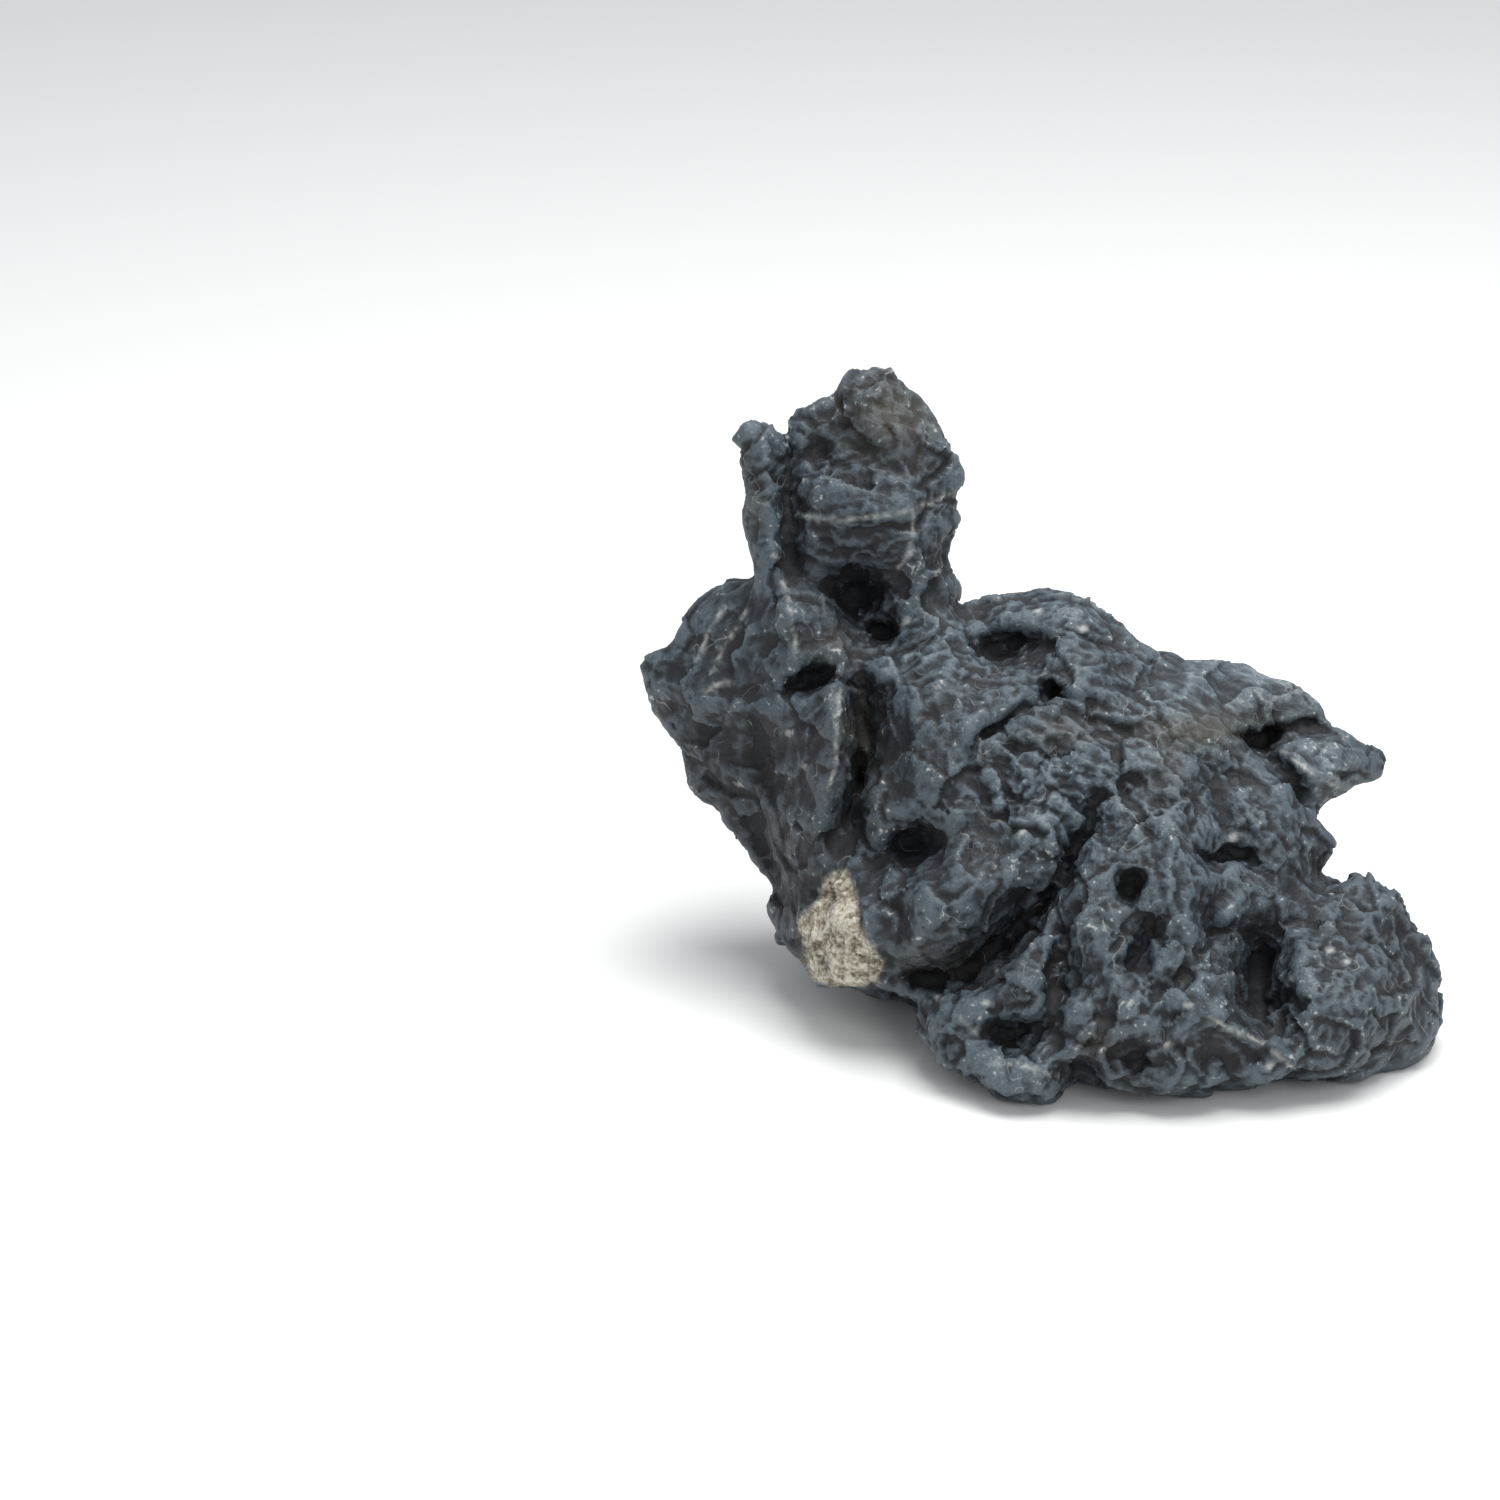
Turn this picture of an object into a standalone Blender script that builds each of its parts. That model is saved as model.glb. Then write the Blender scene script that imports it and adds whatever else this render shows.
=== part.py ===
"""Aquascaping rock: one weathered block of dark blue-grey limestone, about 29 cm long.

The stone is laid out on its front view, in millimetres: across to the right, up the view, and
away from the eye. The view looks 22 degrees down, from 1.5 m. Each swelling of the stone is a
mass with an outline in that view. The masses are fused, carved with hollows and crevices, worn
into shallow cups, and the whole is cut flat where it rests. The frame has +Z up, the front of
the stone to -Y and the origin on the floor under the middle of the stone.
"""

import math

import bmesh
import bpy
import numpy as np
from mathutils import Matrix, Vector, geometry, noise
from mathutils.bvhtree import BVHTree

MM = 0.001

VIEW_TILT = math.radians(22.0)
VIEW_DISTANCE = 1500.0
VIEW_CENTRE = (-90.0, 126.0)
FLOOR_DROP = 29.5

FUSE_GRID = 2.6
FINE_GRID = 2.0
FACETS = 3000
TRIM_OVERSIZE = 0.8
TRIANGLES = 10200

STONE_COLOUR = (0.075, 0.090, 0.100, 1.0)
STONE_ROUGHNESS = 0.72

DOWN_SINE, DOWN_COSINE = math.sin(VIEW_TILT), math.cos(VIEW_TILT)

# Masses. rim: the outline (across, up). away: depth of the rim's plane. lean: how that plane
# recedes per millimetre across and up. front and back: depth, size and centre of each cap.
# bulge: 1 gives straight chiselled sides, 2 rounded ones.
MASSES = (
    dict(
        name="turret",
        rim=(
            (-80, 168), (-80, 200), (-81, 225), (-79, 239), (-75, 247), (-73, 250), (-69, 250.5),
            (-62, 253.5), (-58, 255.5), (-55, 258), (-51, 262), (-46, 264), (-42, 264),
            (-39.5, 260.5), (-36, 256.5), (-30, 253), (-25, 249.5), (-22, 243), (-20.5, 236),
            (-17, 231.5), (-14, 226), (-14, 223), (-18, 217), (-18.5, 215), (-15, 211),
            (-15, 208.5), (-18, 203), (-19.5, 199), (-19.5, 193), (-17, 187), (-13, 182.5),
            (-11, 178), (-14, 166), (-40, 158), (-70, 160),
        ),
        away=-12, front=(17, 0.66, (-46, 222)), back=(24, 0.55, (-46, 205)), bulge=1.3,
        lean=(0.05, -0.30),
    ),
    dict(
        name="turret_plate",
        rim=(
            (-57, 255), (-53, 259), (-50, 262), (-45, 263), (-42, 262), (-39, 258), (-35, 254),
            (-29, 251), (-26, 247), (-22, 238), (-22, 230), (-34, 226), (-46, 232), (-52, 240),
            (-57, 248),
        ),
        away=-24, front=(14, 0.74, (-40, 243)), back=(10, 0.7, (-40, 243)), bulge=1.3,
        lean=(0.12, -0.12),
    ),
    dict(
        name="turret_column",
        rim=(
            (-97, 237), (-97, 239), (-95, 242), (-92, 244.5), (-88, 245), (-85, 243),
            (-81, 239), (-78, 230), (-76, 218), (-76, 205), (-74, 190), (-77, 176), (-86, 182),
            (-88, 190), (-89, 198), (-91, 203), (-92.5, 208), (-92, 213), (-91, 219),
            (-92, 225), (-93.5, 231), (-94, 234),
        ),
        away=-20, front=(14, 0.6, (-84, 212)), back=(18, 0.5, (-84, 212)), bulge=1.8,
        lean=(0.0, -0.30),
    ),
    dict(
        name="turret_ledge",
        rim=(
            (-34, 190), (-24, 193), (-19, 191), (-17, 187), (-13, 182.5), (-11, 178),
            (-10, 172), (-16, 166), (-28, 168), (-34, 178),
        ),
        away=-14, front=(12, 0.5, (-22, 180)), back=(14, 0.7, (-22, 178)), bulge=1.4,
        lean=(0.0, -0.1),
    ),
    dict(
        name="shoulder",
        rim=(
            (-84, 190), (-88, 188), (-93, 186.5), (-97, 187.5), (-101, 185), (-104, 183),
            (-109, 180.5), (-111, 177), (-114, 172), (-117, 165.5), (-120, 162), (-125, 161),
            (-129, 160), (-130, 156), (-128, 150), (-126, 143), (-122, 142), (-108, 140),
            (-90, 138), (-72, 138), (-66, 160), (-72, 186),
        ),
        away=6, front=(32, 0.12, (-74, 160)), back=(36, 0.5, (-76, 160)), bulge=1.05,
        lean=(-0.05, 0.10),
    ),
    dict(
        name="keel",
        rim=(
            (-127, 150), (-126, 143), (-124, 139), (-118, 133), (-115, 126), (-113.5, 122),
            (-113, 116), (-110, 111), (-107, 109.5), (-103, 107), (-100, 100), (-95, 95),
            (-90, 90), (-87, 85), (-84, 81), (-81.5, 76), (-82, 70), (-81, 63), (-80, 57),
            (-78, 54.5), (-73, 52), (-66, 48), (-52, 60), (-46, 100), (-54, 140), (-80, 156),
            (-110, 156),
        ),
        away=14, front=(34, 0.34, (-74, 112)), back=(34, 0.5, (-66, 110)), bulge=1.2,
        lean=(-0.10, -0.05),
    ),
    dict(
        name="wedge",
        rim=(
            (-86, 141), (-78, 146), (-68, 149), (-57, 152), (-55, 140), (-57, 120), (-60, 105),
            (-63, 85), (-67, 62), (-78, 62), (-83, 80), (-87, 100), (-88, 122),
        ),
        away=-14, front=(20, 0.84, (-69, 116)), back=(20, 0.7, (-72, 110)), bulge=1.1,
        lean=(-0.70, 0.0),
    ),
    dict(
        name="saddle",
        rim=(
            (-82, 186), (-76, 190), (-68, 186), (-62, 178), (-52, 170), (-50, 160), (-56, 152),
            (-74, 150), (-80, 165),
        ),
        away=-14, front=(18, 0.55, (-68, 166)), back=(20, 0.6, (-68, 168)), bulge=1.4,
        lean=(0.0, 0.1),
    ),
    dict(
        name="crown",
        rim=(
            (-54, 152), (-56, 162), (-50, 168), (-38, 167), (-25, 167), (-13, 166), (-6, 158),
            (4, 152), (14, 148), (14, 134), (6, 120), (4, 110), (-8, 98), (-20, 92),
            (-38, 96), (-44, 112), (-43, 132),
        ),
        away=-22, front=(32, 0.52, (-22, 128)), back=(40, 0.7, (-20, 130)), bulge=1.5,
        lean=(0.0, 0.20),
    ),
    dict(
        name="knoll",
        rim=(
            (-12, 176), (-9, 177.5), (-6, 178.5), (-4, 180.5), (-1, 182), (5, 181.5),
            (15, 182.5), (18, 182.5), (25, 180.5), (30, 179), (36, 176), (40, 173), (45, 169),
            (50, 164.5), (54, 160), (48, 148), (24, 156), (8, 159), (-10, 158),
        ),
        away=-8, front=(20, 0.56, (16, 171)), back=(30, 0.45, (14, 160)), bulge=1.6,
        lean=(0.0, 0.2),
    ),
    dict(
        name="slope",
        rim=(
            (34, 172), (45, 168.5), (50, 164.5), (57, 162.5), (60, 161.5), (65, 159),
            (70, 157), (78, 157), (85, 157.5), (90, 155.5), (96, 151.5), (100, 150.3),
            (105, 150), (110, 147.5), (115, 142), (118, 138), (121, 134), (112, 131),
            (98, 134), (86, 128), (70, 120), (50, 118), (24, 124), (14, 140), (22, 160),
        ),
        away=-12, front=(30, 0.56, (54, 134)), back=(24, 0.55, (60, 134)), bulge=1.2,
        lean=(0.05, 0.55),
    ),
    dict(
        name="nose",
        rim=(
            (98, 126), (104, 131), (113, 131), (120, 132.5), (125, 132), (129, 130),
            (136, 127), (142, 121), (143, 116), (137, 114.5), (129, 114), (126, 111),
            (120, 109), (115, 106), (108, 100), (98, 104), (94, 116),
        ),
        away=-24, front=(18, 0.6, (112, 121)), back=(24, 0.6, (106, 116)), bulge=1.15,
        lean=(0.15, 0.1),
    ),
    dict(
        name="flank",
        rim=(
            (10, 142), (30, 132), (50, 132), (70, 130), (88, 124), (100, 118), (108, 110),
            (112, 106), (113, 103), (114, 100), (117, 96), (120, 93), (121, 90), (120, 86),
            (119, 80), (100, 60), (60, 62), (30, 80), (18, 92), (4, 104), (-4, 120), (2, 134),
        ),
        away=-30, front=(34, 0.56, (56, 100)), back=(40, 0.8, (46, 110)), bulge=1.5,
        lean=(0.05, 0.22),
    ),
    dict(
        name="chin",
        rim=(
            (-48, 76), (-42, 90), (-30, 98), (-14, 103), (4, 106), (18, 100), (27, 90),
            (22, 76), (12, 64), (-2, 54), (-16, 48), (-30, 44), (-42, 43), (-50, 56),
        ),
        away=-30, front=(32, 0.50, (-12, 76)), back=(40, 0.8, (-12, 80)), bulge=1.6,
        lean=(0.0, 0.0),
    ),
    dict(
        name="crust",
        rim=(
            (-56, 83), (-62, 80), (-64, 77), (-65, 72), (-69, 69), (-72, 66), (-73, 62),
            (-71, 57), (-71, 50), (-69, 46), (-69, 43.5), (-65, 41.5), (-60, 41), (-52, 39.5),
            (-45, 38), (-40, 44), (-40, 70), (-48, 78),
        ),
        away=-20, front=(24, 0.52, (-55, 60)), back=(24, 0.8, (-50, 60)), bulge=1.5,
        lean=(-0.15, 0.0),
    ),
    dict(
        name="underside",
        rim=(
            (-79, 60), (-78, 55), (-72, 52), (-68, 43.5), (-60, 41), (-52, 39.5), (-45, 37.5),
            (-38, 36.5), (-33, 34.5), (-28, 32), (0, 26), (40, 34), (60, 90), (0, 110),
            (-60, 100),
        ),
        away=-4, front=(20, 0.7, (-20, 66)), back=(44, 0.75, (0, 70)), bulge=1.4,
        lean=(0.0, 0.0),
    ),
    dict(
        name="foot_left",
        rim=(
            (-28, 39), (-30, 33), (-30, 28), (-28, 24), (-24, 20), (-23, 14), (-19, 10.5),
            (-10, 9), (-4, 8), (4, 14), (6, 24), (2, 34), (-10, 40),
        ),
        away=-56, front=(20, 0.56, (-16, 24)), back=(30, 0.8, (-8, 30)), bulge=1.6,
        lean=(0.0, 0.05),
    ),
    dict(
        name="foot_plate",
        rim=(
            (-10, 9), (-4, 6), (0, 2), (4, 1.2), (10, 1), (15, 1.2), (20, 1), (24, 6),
            (29, 9), (34, 10), (34, 20), (22, 26), (8, 20), (-4, 18),
        ),
        away=-70, front=(15, 0.62, (12, 11)), back=(36, 0.8, (12, 18)), bulge=1.4,
        lean=(0.0, 0.05),
    ),
    dict(
        name="front_wall",
        rim=(
            (-10, 34), (0, 46), (10, 58), (22, 72), (32, 86), (50, 90), (72, 84), (86, 72),
            (86, 40), (86, 20), (86, 4), (80, 3), (75, 3.5), (65, 3.5), (56, 4), (53.5, 1),
            (50, 3.5), (43, 5), (36, 4), (30, 9), (10, 12), (-6, 20),
        ),
        away=-50, front=(30, 0.70, (44, 46)), back=(60, 0.8, (40, 50)), bulge=1.6,
        lean=(0.0, 0.12),
    ),
    dict(
        name="right_wall",
        rim=(
            (70, 84), (88, 88), (104, 88), (116, 82), (121, 80.5), (124, 82), (129, 81),
            (135, 78), (142, 72), (149, 64), (153, 54), (157, 44), (156, 34), (158, 26),
            (151, 15), (142, 8), (129, 6.5), (118, 6), (108, 5), (100, 3), (92, 2.5),
            (84, 4), (78, 10), (76, 40),
        ),
        away=-40, front=(22, 0.70, (112, 54)), back=(56, 0.62, (104, 50)), bulge=1.5,
        lean=(0.12, 0.10),
    ),
    dict(
        name="right_block",
        rim=(
            (97, 34), (101, 41), (104, 48), (109, 53), (120, 55), (134, 52), (147, 43),
            (150, 28), (142, 15), (129, 8), (116, 12), (106, 16), (98, 24), (99, 29),
        ),
        away=-56, front=(22, 0.60, (122, 31)), back=(30, 0.9, (120, 30)), bulge=1.3,
        lean=(0.08, 0.1),
    ),
    dict(
        name="right_toe",
        rim=(
            (85, 2.5), (88, 0.5), (92, 2.5), (100, 3), (107, 5), (110, 10), (104, 15),
            (97, 18), (91, 15), (86, 9),
        ),
        away=-68, front=(12, 0.55, (96, 8)), back=(30, 0.9, (98, 12)), bulge=1.5,
        lean=(0.0, 0.1),
    ),
)

# Cores fill the stone behind the masses: centre and radii in the stone's frame, and a turn
# about the vertical in degrees.
CORES = (
    ((-16, 46, 66), (76, 56, 62), 8),
    ((42, 38, 50), (66, 58, 50), -6),
    ((20, 62, 22), (84, 50, 34), 0),
    ((94, 18, 24), (46, 56, 28), -12),
    ((-48, 62, 116), (36, 28, 44), 15),
    ((22, 62, 92), (58, 30, 30), 0),
    ((-56, 44, 62), (40, 42, 46), 20),
)

# Outline of the whole stone in the front view (across, up), clockwise from the turret's root.
OUTLINE = (
    (-88, 190), (-89, 198), (-91, 203), (-92.5, 208), (-92, 213), (-91, 219), (-92, 225),
    (-93.5, 231), (-94, 234), (-97, 237), (-97, 239), (-95, 242), (-92, 244.5), (-88, 245),
    (-85, 243), (-82.5, 240.5), (-80, 240), (-77, 243.5), (-75, 247), (-73.5, 250),
    (-69, 250.5), (-62, 253.5), (-58, 255.5), (-55, 258), (-51, 262), (-46, 264),
    (-42, 264), (-39.5, 260.5), (-36, 256.5), (-30, 253), (-25, 249.5), (-22, 243),
    (-20.5, 236), (-17, 231.5), (-14, 226), (-14, 223), (-18, 217), (-18.5, 215),
    (-15, 211), (-15, 208.5), (-18, 203), (-19.5, 199), (-19.5, 193), (-17, 187),
    (-13, 182.5), (-11, 178), (-9, 177.5), (-6, 178.5), (-4, 180.5), (-1, 182),
    (5, 181.5), (15, 182.5), (18, 182.5), (25, 180.5), (30, 179), (36, 176), (40, 173),
    (45, 169), (50, 164.5), (57, 162.5), (60, 161.5), (65, 159), (70, 157), (78, 157),
    (85, 157.5), (90, 155.5), (96, 151.5), (100, 150.3), (105, 150), (110, 147.5),
    (115, 142), (118, 138), (122, 133.5), (125, 132), (129, 130), (136, 127), (142, 122),
    (143, 118), (137, 115.5), (129, 114), (126, 111), (120, 109), (115, 106), (113, 103),
    (114, 100), (117, 96), (120, 93), (121, 90), (120, 86), (120, 82), (121, 80.5),
    (124, 82), (129, 81), (135, 79), (142, 73), (149, 65), (153, 55), (158, 45), (157, 35),
    (159, 26), (152, 15), (142, 9), (129, 6.5), (118, 6), (108, 5), (100, 3), (92, 2.5),
    (88, 0.5), (85, 2), (75, 3.5), (65, 3.5), (56, 4), (53.5, 1), (50, 3.5), (43, 5),
    (36, 4), (33, 7.5), (29, 9), (24, 6), (20, 1), (10, 1), (0, 2), (-4, 6), (-10, 9),
    (-19, 10.5), (-23, 14), (-24, 20), (-28, 24), (-30, 28), (-30, 33), (-33, 34.5),
    (-38, 36.5), (-45, 37.5), (-52, 39.5), (-60, 41), (-65, 41.5), (-69, 43.5), (-70, 49),
    (-73, 52), (-78, 54.5), (-80, 57), (-81, 63), (-82, 70), (-81.5, 76), (-84, 81),
    (-87, 85), (-90, 90), (-95, 95), (-100, 100), (-103, 107), (-107, 109.5), (-110, 111),
    (-113, 116), (-113.5, 122), (-115, 126), (-118, 133), (-124, 139), (-126, 143),
    (-128, 150), (-130, 156), (-129, 160), (-125, 161), (-120, 162), (-117, 165.5),
    (-114, 172), (-111, 177), (-109, 180.5), (-104, 183), (-101, 185), (-97, 187.5),
    (-93, 186.5),
)

# Relief: the depth of the front face (across, up, away), by region. Straight facets join them.
RELIEF = dict(
    turret=(
        (-75, 246, -24), (-62, 252, -27), (-57, 254, -24), (-72, 240, -28), (-66, 232, -24),
        (-56, 240, -27), (-48, 231, -33), (-66, 220, -33), (-66, 208, -35), (-50, 222, -36),
        (-50, 210, -38), (-34, 222, -35), (-33, 212, -37), (-20, 226, -24), (-20, 217, -27),
        (-64, 200, -29), (-50, 200, -31), (-34, 203, -31), (-22, 204, -24), (-32, 195, -35),
        (-20, 193, -22),
    ),
    turret_plate=(
        (-54, 254, -32), (-46, 262, -31), (-42, 262, -30), (-30, 251, -28), (-22, 238, -24),
        (-36, 240, -39), (-50, 239, -36), (-36, 228, -38),
    ),
    turret_column=(
        (-95, 239, -22), (-88, 243, -25), (-84, 232, -31), (-84, 215, -33), (-85, 200, -33),
        (-86, 190, -27), (-77, 235, -20), (-76, 215, -22), (-76, 198, -22),
    ),
    turret_base=(
        (-62, 187, -15), (-52, 184, -8), (-42, 187, -20), (-34, 184, -27), (-24, 186, -25),
        (-15, 183, -17), (-42, 170, -8), (-52, 174, -10), (-34, 172, -28), (-22, 172, -25),
        (-14, 172, -22),
    ),
    saddle=(
        (-80, 186, -24), (-76, 178, -31), (-75, 168, -33), (-73, 158, -33), (-66, 176, -26),
        (-60, 167, -25), (-58, 160, -31),
    ),
    shoulder=(
        (-95, 184, -6), (-110, 177, 0), (-120, 160, 0), (-128, 157, 4), (-112, 160, -7),
        (-98, 170, -14), (-90, 181, -12), (-84, 172, -24), (-80, 160, -28), (-100, 150, -15),
        (-122, 152, -2), (-110, 143, -10), (-95, 141, -19), (-82, 141, -27), (-68, 151, -18),
    ),
    keel=(
        (-124, 146, 8), (-116, 132, 10), (-110, 118, 10), (-104, 130, 2), (-96, 120, 2),
        (-100, 106, 11), (-90, 96, 9), (-92, 132, -6), (-87, 106, -2), (-84, 88, 6),
        (-85, 122, -8),
    ),
    wedge=(
        (-83, 137, -22), (-78, 145, -30), (-68, 148, -36), (-59, 151, -43), (-57, 136, -46),
        (-58, 120, -46), (-61, 106, -41), (-72, 130, -33), (-72, 115, -32), (-72, 98, -28),
        (-84, 108, -13), (-80, 84, -10), (-66, 90, -36), (-80, 70, -4), (-79, 60, 3),
    ),
    crevice=((-51, 146, -16), (-50, 130, -8), (-52, 115, -10), (-54, 104, -20)),
    crown=(
        (-44, 146, -38), (-42, 130, -40), (-43, 112, -43), (-44, 102, -45), (-36, 152, -42),
        (-30, 140, -50), (-26, 125, -56), (-30, 108, -55), (-14, 118, -59), (-10, 134, -55),
        (-4, 146, -47), (-18, 152, -44), (-52, 156, -32), (-40, 164, -27), (-24, 164, -27),
        (-12, 164, -25),
    ),
    knoll=(
        (-5, 162, -9), (5, 162, -8), (16, 163, -13), (-6, 176, -14), (4, 180, -12),
        (16, 180, -14), (4, 173, -24), (16, 173, -27), (28, 175, -20), (38, 170, -20),
        (46, 164, -18), (26, 166, -29), (34, 161, -33), (-12, 158, -35), (-4, 153, -41),
        (8, 152, -43), (18, 156, -38),
    ),
    slope=(
        (12, 147, -46), (28, 149, -43), (20, 138, -51), (40, 157, -33), (52, 160, -20),
        (64, 157, -16), (78, 155, -13), (90, 153, -11), (102, 148, -11), (113, 142, -13),
        (119, 136, -17), (50, 150, -32), (70, 148, -27), (90, 145, -22), (105, 140, -20),
        (45, 143, -44), (62, 139, -43), (80, 135, -38), (87, 133, -36), (94, 128, -14),
        (100, 132, -10), (112, 133.5, -14),
    ),
    nose=(
        (101, 126, -39), (108, 130, -40), (118, 130, -36), (126, 130, -28), (136, 125, -22),
        (140, 118, -22), (106, 118, -47), (116, 117, -45), (128, 117, -34), (113, 108, -36),
        (121, 111, -28), (97, 124, -30), (102, 116, -34), (108, 108, -33),
    ),
    flank=(
        (14, 134, -52), (4, 128, -50), (4, 116, -57), (22, 122, -59), (38, 134, -52),
        (38, 120, -61), (36, 104, -63), (20, 106, -60), (55, 131, -52), (56, 116, -61),
        (58, 100, -67), (74, 126, -48), (78, 112, -57), (80, 98, -61), (92, 116, -44),
        (98, 104, -48), (108, 100, -42), (112, 92, -38), (118, 86, -32), (96, 92, -53),
        (60, 90, -67), (40, 90, -67), (74, 87, -53), (90, 87, -48),
    ),
    chin=(
        (-40, 86, -48), (-30, 82, -60), (-40, 70, -57), (-28, 66, -67), (-14, 80, -69),
        (-10, 64, -71), (2, 92, -64), (4, 78, -69), (15, 88, -65), (-20, 54, -63),
        (-34, 53, -58), (-6, 100, -59), (-18, 96, -58), (10, 102, -58), (-32, 92, -42),
    ),
    arc=(
        (26, 88, -56), (18, 72, -50), (6, 60, -48), (-6, 51, -46), (-18, 44, -42),
        (-32, 40, -36),
    ),
    crust=(
        (-62, 79, -30), (-55, 80, -41), (-66, 70, -33), (-56, 68, -47), (-70, 58, -27),
        (-60, 56, -47), (-48, 58, -53), (-62, 45, -34), (-50, 44, -44), (-42, 42, -44),
    ),
    foot=(
        (-27, 34, -60), (-18, 32, -70), (-6, 38, -72), (-20, 20, -68), (-12, 14, -72),
        (-8, 26, -75), (-28, 26, -60), (0, 8, -80), (12, 12, -87), (20, 7, -84),
        (26, 18, -85), (4, 24, -68), (12, 22, -68),
    ),
    wall=(
        (8, 46, -74), (14, 54, -70), (12, 36, -81), (28, 30, -85), (20, 40, -70),
        (22, 56, -66), (30, 48, -81), (31, 66, -77), (34, 80, -73), (47, 85, -69),
        (47, 76, -60), (58, 78, -73), (40, 62, -81), (50, 66, -80), (51, 56, -70),
        (58, 60, -83), (62, 72, -79), (68, 78, -75), (75, 66, -67), (71, 52, -69),
        (84, 76, -64), (82, 64, -73), (64, 52, -85), (56, 46, -87), (44, 40, -86),
        (37, 40, -85), (40, 24, -88), (50, 30, -91), (62, 34, -89), (74, 38, -83),
        (80, 46, -74), (40, 8, -84), (56, 8, -86), (68, 8, -84), (66, 20, -87),
        (46, 16, -79),
    ),
    hollow=(
        (90, 60, -52), (94, 44, -48), (92, 30, -56), (84, 58, -60), (102, 56, -53),
        (106, 66, -58), (90, 74, -60), (76, 30, -87), (86, 24, -87), (96, 19, -84),
        (106, 12, -82), (82, 14, -75),
    ),
    right=(
        (100, 80, -52), (114, 79, -46), (126, 77, -44), (140, 69, -40), (118, 66, -57),
        (132, 60, -55), (148, 52, -44), (102, 45, -69), (110, 51, -73), (124, 53, -71),
        (138, 48, -62), (101, 34, -66), (112, 37, -81), (128, 35, -81), (142, 30, -66),
        (104, 24, -77), (116, 17, -81), (134, 14, -72), (148, 22, -50), (88, 6, -82),
        (96, 10, -89), (104, 7, -82),
    ),
)

# Carved lines: path (across, up), half width, depth. One side only where side is 1 (left of
# the path's direction) or -1 (right of it). A negative depth raises a crest.
LINES = (
    (((-78, 243), (-76, 225), (-75, 205), (-77, 192)), 5, 6, 0),
    (((-57, 256), (-57, 250), (-54, 242), (-48, 234), (-36, 227)), 7, 4, -1),
    (((-73, 210), (-50, 208), (-32, 211), (-18, 217)), 8, 2.5, -1),
    (((-58, 151), (-56, 138), (-58, 120), (-61, 106), (-62, 90)), 5, 5, 1),
    (((-50, 150), (-49, 130), (-50, 114), (-53, 102)), 6.5, 10, 0),
    (((-52, 102), (-49, 92), (-44, 86)), 5.5, 9, 0),
    (((14, 142), (5, 139), (0, 134), (-8, 131)), 5, 8, 0),
    (((-8, 131), (-12, 118), (-6, 106)), 5, 5, 0),
    (((24, 140), (40, 134), (60, 129), (78, 119)), 5, 4, 0),
    (((119, 134), (107, 133), (97, 131), (90, 128)), 4.5, 13, 0),
    (((97, 127), (102, 118), (109, 108)), 5, 10, 0),
    (((57, 66), (51, 56), (46, 46)), 5, 9, 0),
    (((77, 74), (75, 62), (71, 52), (66, 42)), 5, 9, 0),
    (((29, 94), (22, 80), (16, 70), (5, 61), (-5, 52), (-16, 45), (-30, 41)), 6.5, 18, 0),
    (((25, 68), (21, 55), (20, 40), (17, 28)), 6, 10, 0),
    (((40, 34), (34, 24), (30, 14)), 5, 5, 0),
    (((58, 40), (62, 28), (60, 14)), 5, 5, 0),
    (((120, 54), (114, 60), (104, 64)), 5, 6, 0),
    (((-88, 136), (-86, 118), (-86, 100), (-82, 80)), 6, 6, 0),
    (((76, 30), (86, 24), (96, 19), (106, 12)), 4, -4, 0),
    (((-126, 152), (-110, 143), (-96, 141), (-82, 141)), 4, -2.5, 0),
)

# Hollows: centre (across, up), radii, turn in degrees, depth.
HOLLOWS = (
    ((-53, 184), (12, 12), 0, 12),
    ((-42, 168), (8, 6), 0, 12),
    ((-65, 232), (8, 6), 0, 4),
    ((-69, 151), (11, 6), 20, 12),
    ((-84, 203), (5, 6), 0, 6),
    ((-86, 222), (4, 5), 0, 4),
    ((-40, 147), (6, 5), 0, 5),
    ((-26, 138), (6, 4), -20, 4),
    ((-16, 152), (5, 4), 0, 4),
    ((5, 162), (15, 8), 0, 8),
    ((20, 146), (7, 6), 0, 15),
    ((17, 122), (7, 5), 20, 6),
    ((34, 103), (6, 8), 0, 7),
    ((79, 105), (7, 9), 0, 6),
    ((93, 128), (8, 7), 0, 15),
    ((81, 87), (12, 6), 0, 8),
    ((47, 77), (6, 8), 0, 10),
    ((-31, 92), (13, 8), 10, 14),
    ((5, 24), (13, 8), 10, 9),
    ((46, 15), (9, 8), 0, 6),
    ((94, 44), (13, 22), 8, 8),
)

# Calm areas of the front, where the stone is smoother: centre, radii, share of the wear kept.
CALM = (
    ((-46, 224), (36, 40), 0.30),
    ((-102, 160), (30, 28), 0.35),
    ((-86, 108), (34, 40), 0.55),
    ((82, 148), (44, 14), 0.35),
    ((118, 122), (22, 14), 0.40),
    ((95, 42), (15, 26), 0.35),
    ((-24, 120), (16, 22), 0.60),
    ((122, 34), (26, 22), 0.60),
)


def place(across, up, away):
    """The point, in metres, that the front view shows at (across, up) and this far away."""
    spread = 1.0 + away / VIEW_DISTANCE
    x = VIEW_CENTRE[0] + (across - VIEW_CENTRE[0]) * spread
    rise = VIEW_CENTRE[1] + (up - VIEW_CENTRE[1]) * spread
    y = rise * DOWN_SINE + away * DOWN_COSINE
    z = rise * DOWN_COSINE - away * DOWN_SINE - FLOOR_DROP
    return np.stack([x, y, z], axis=-1) * MM


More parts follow.
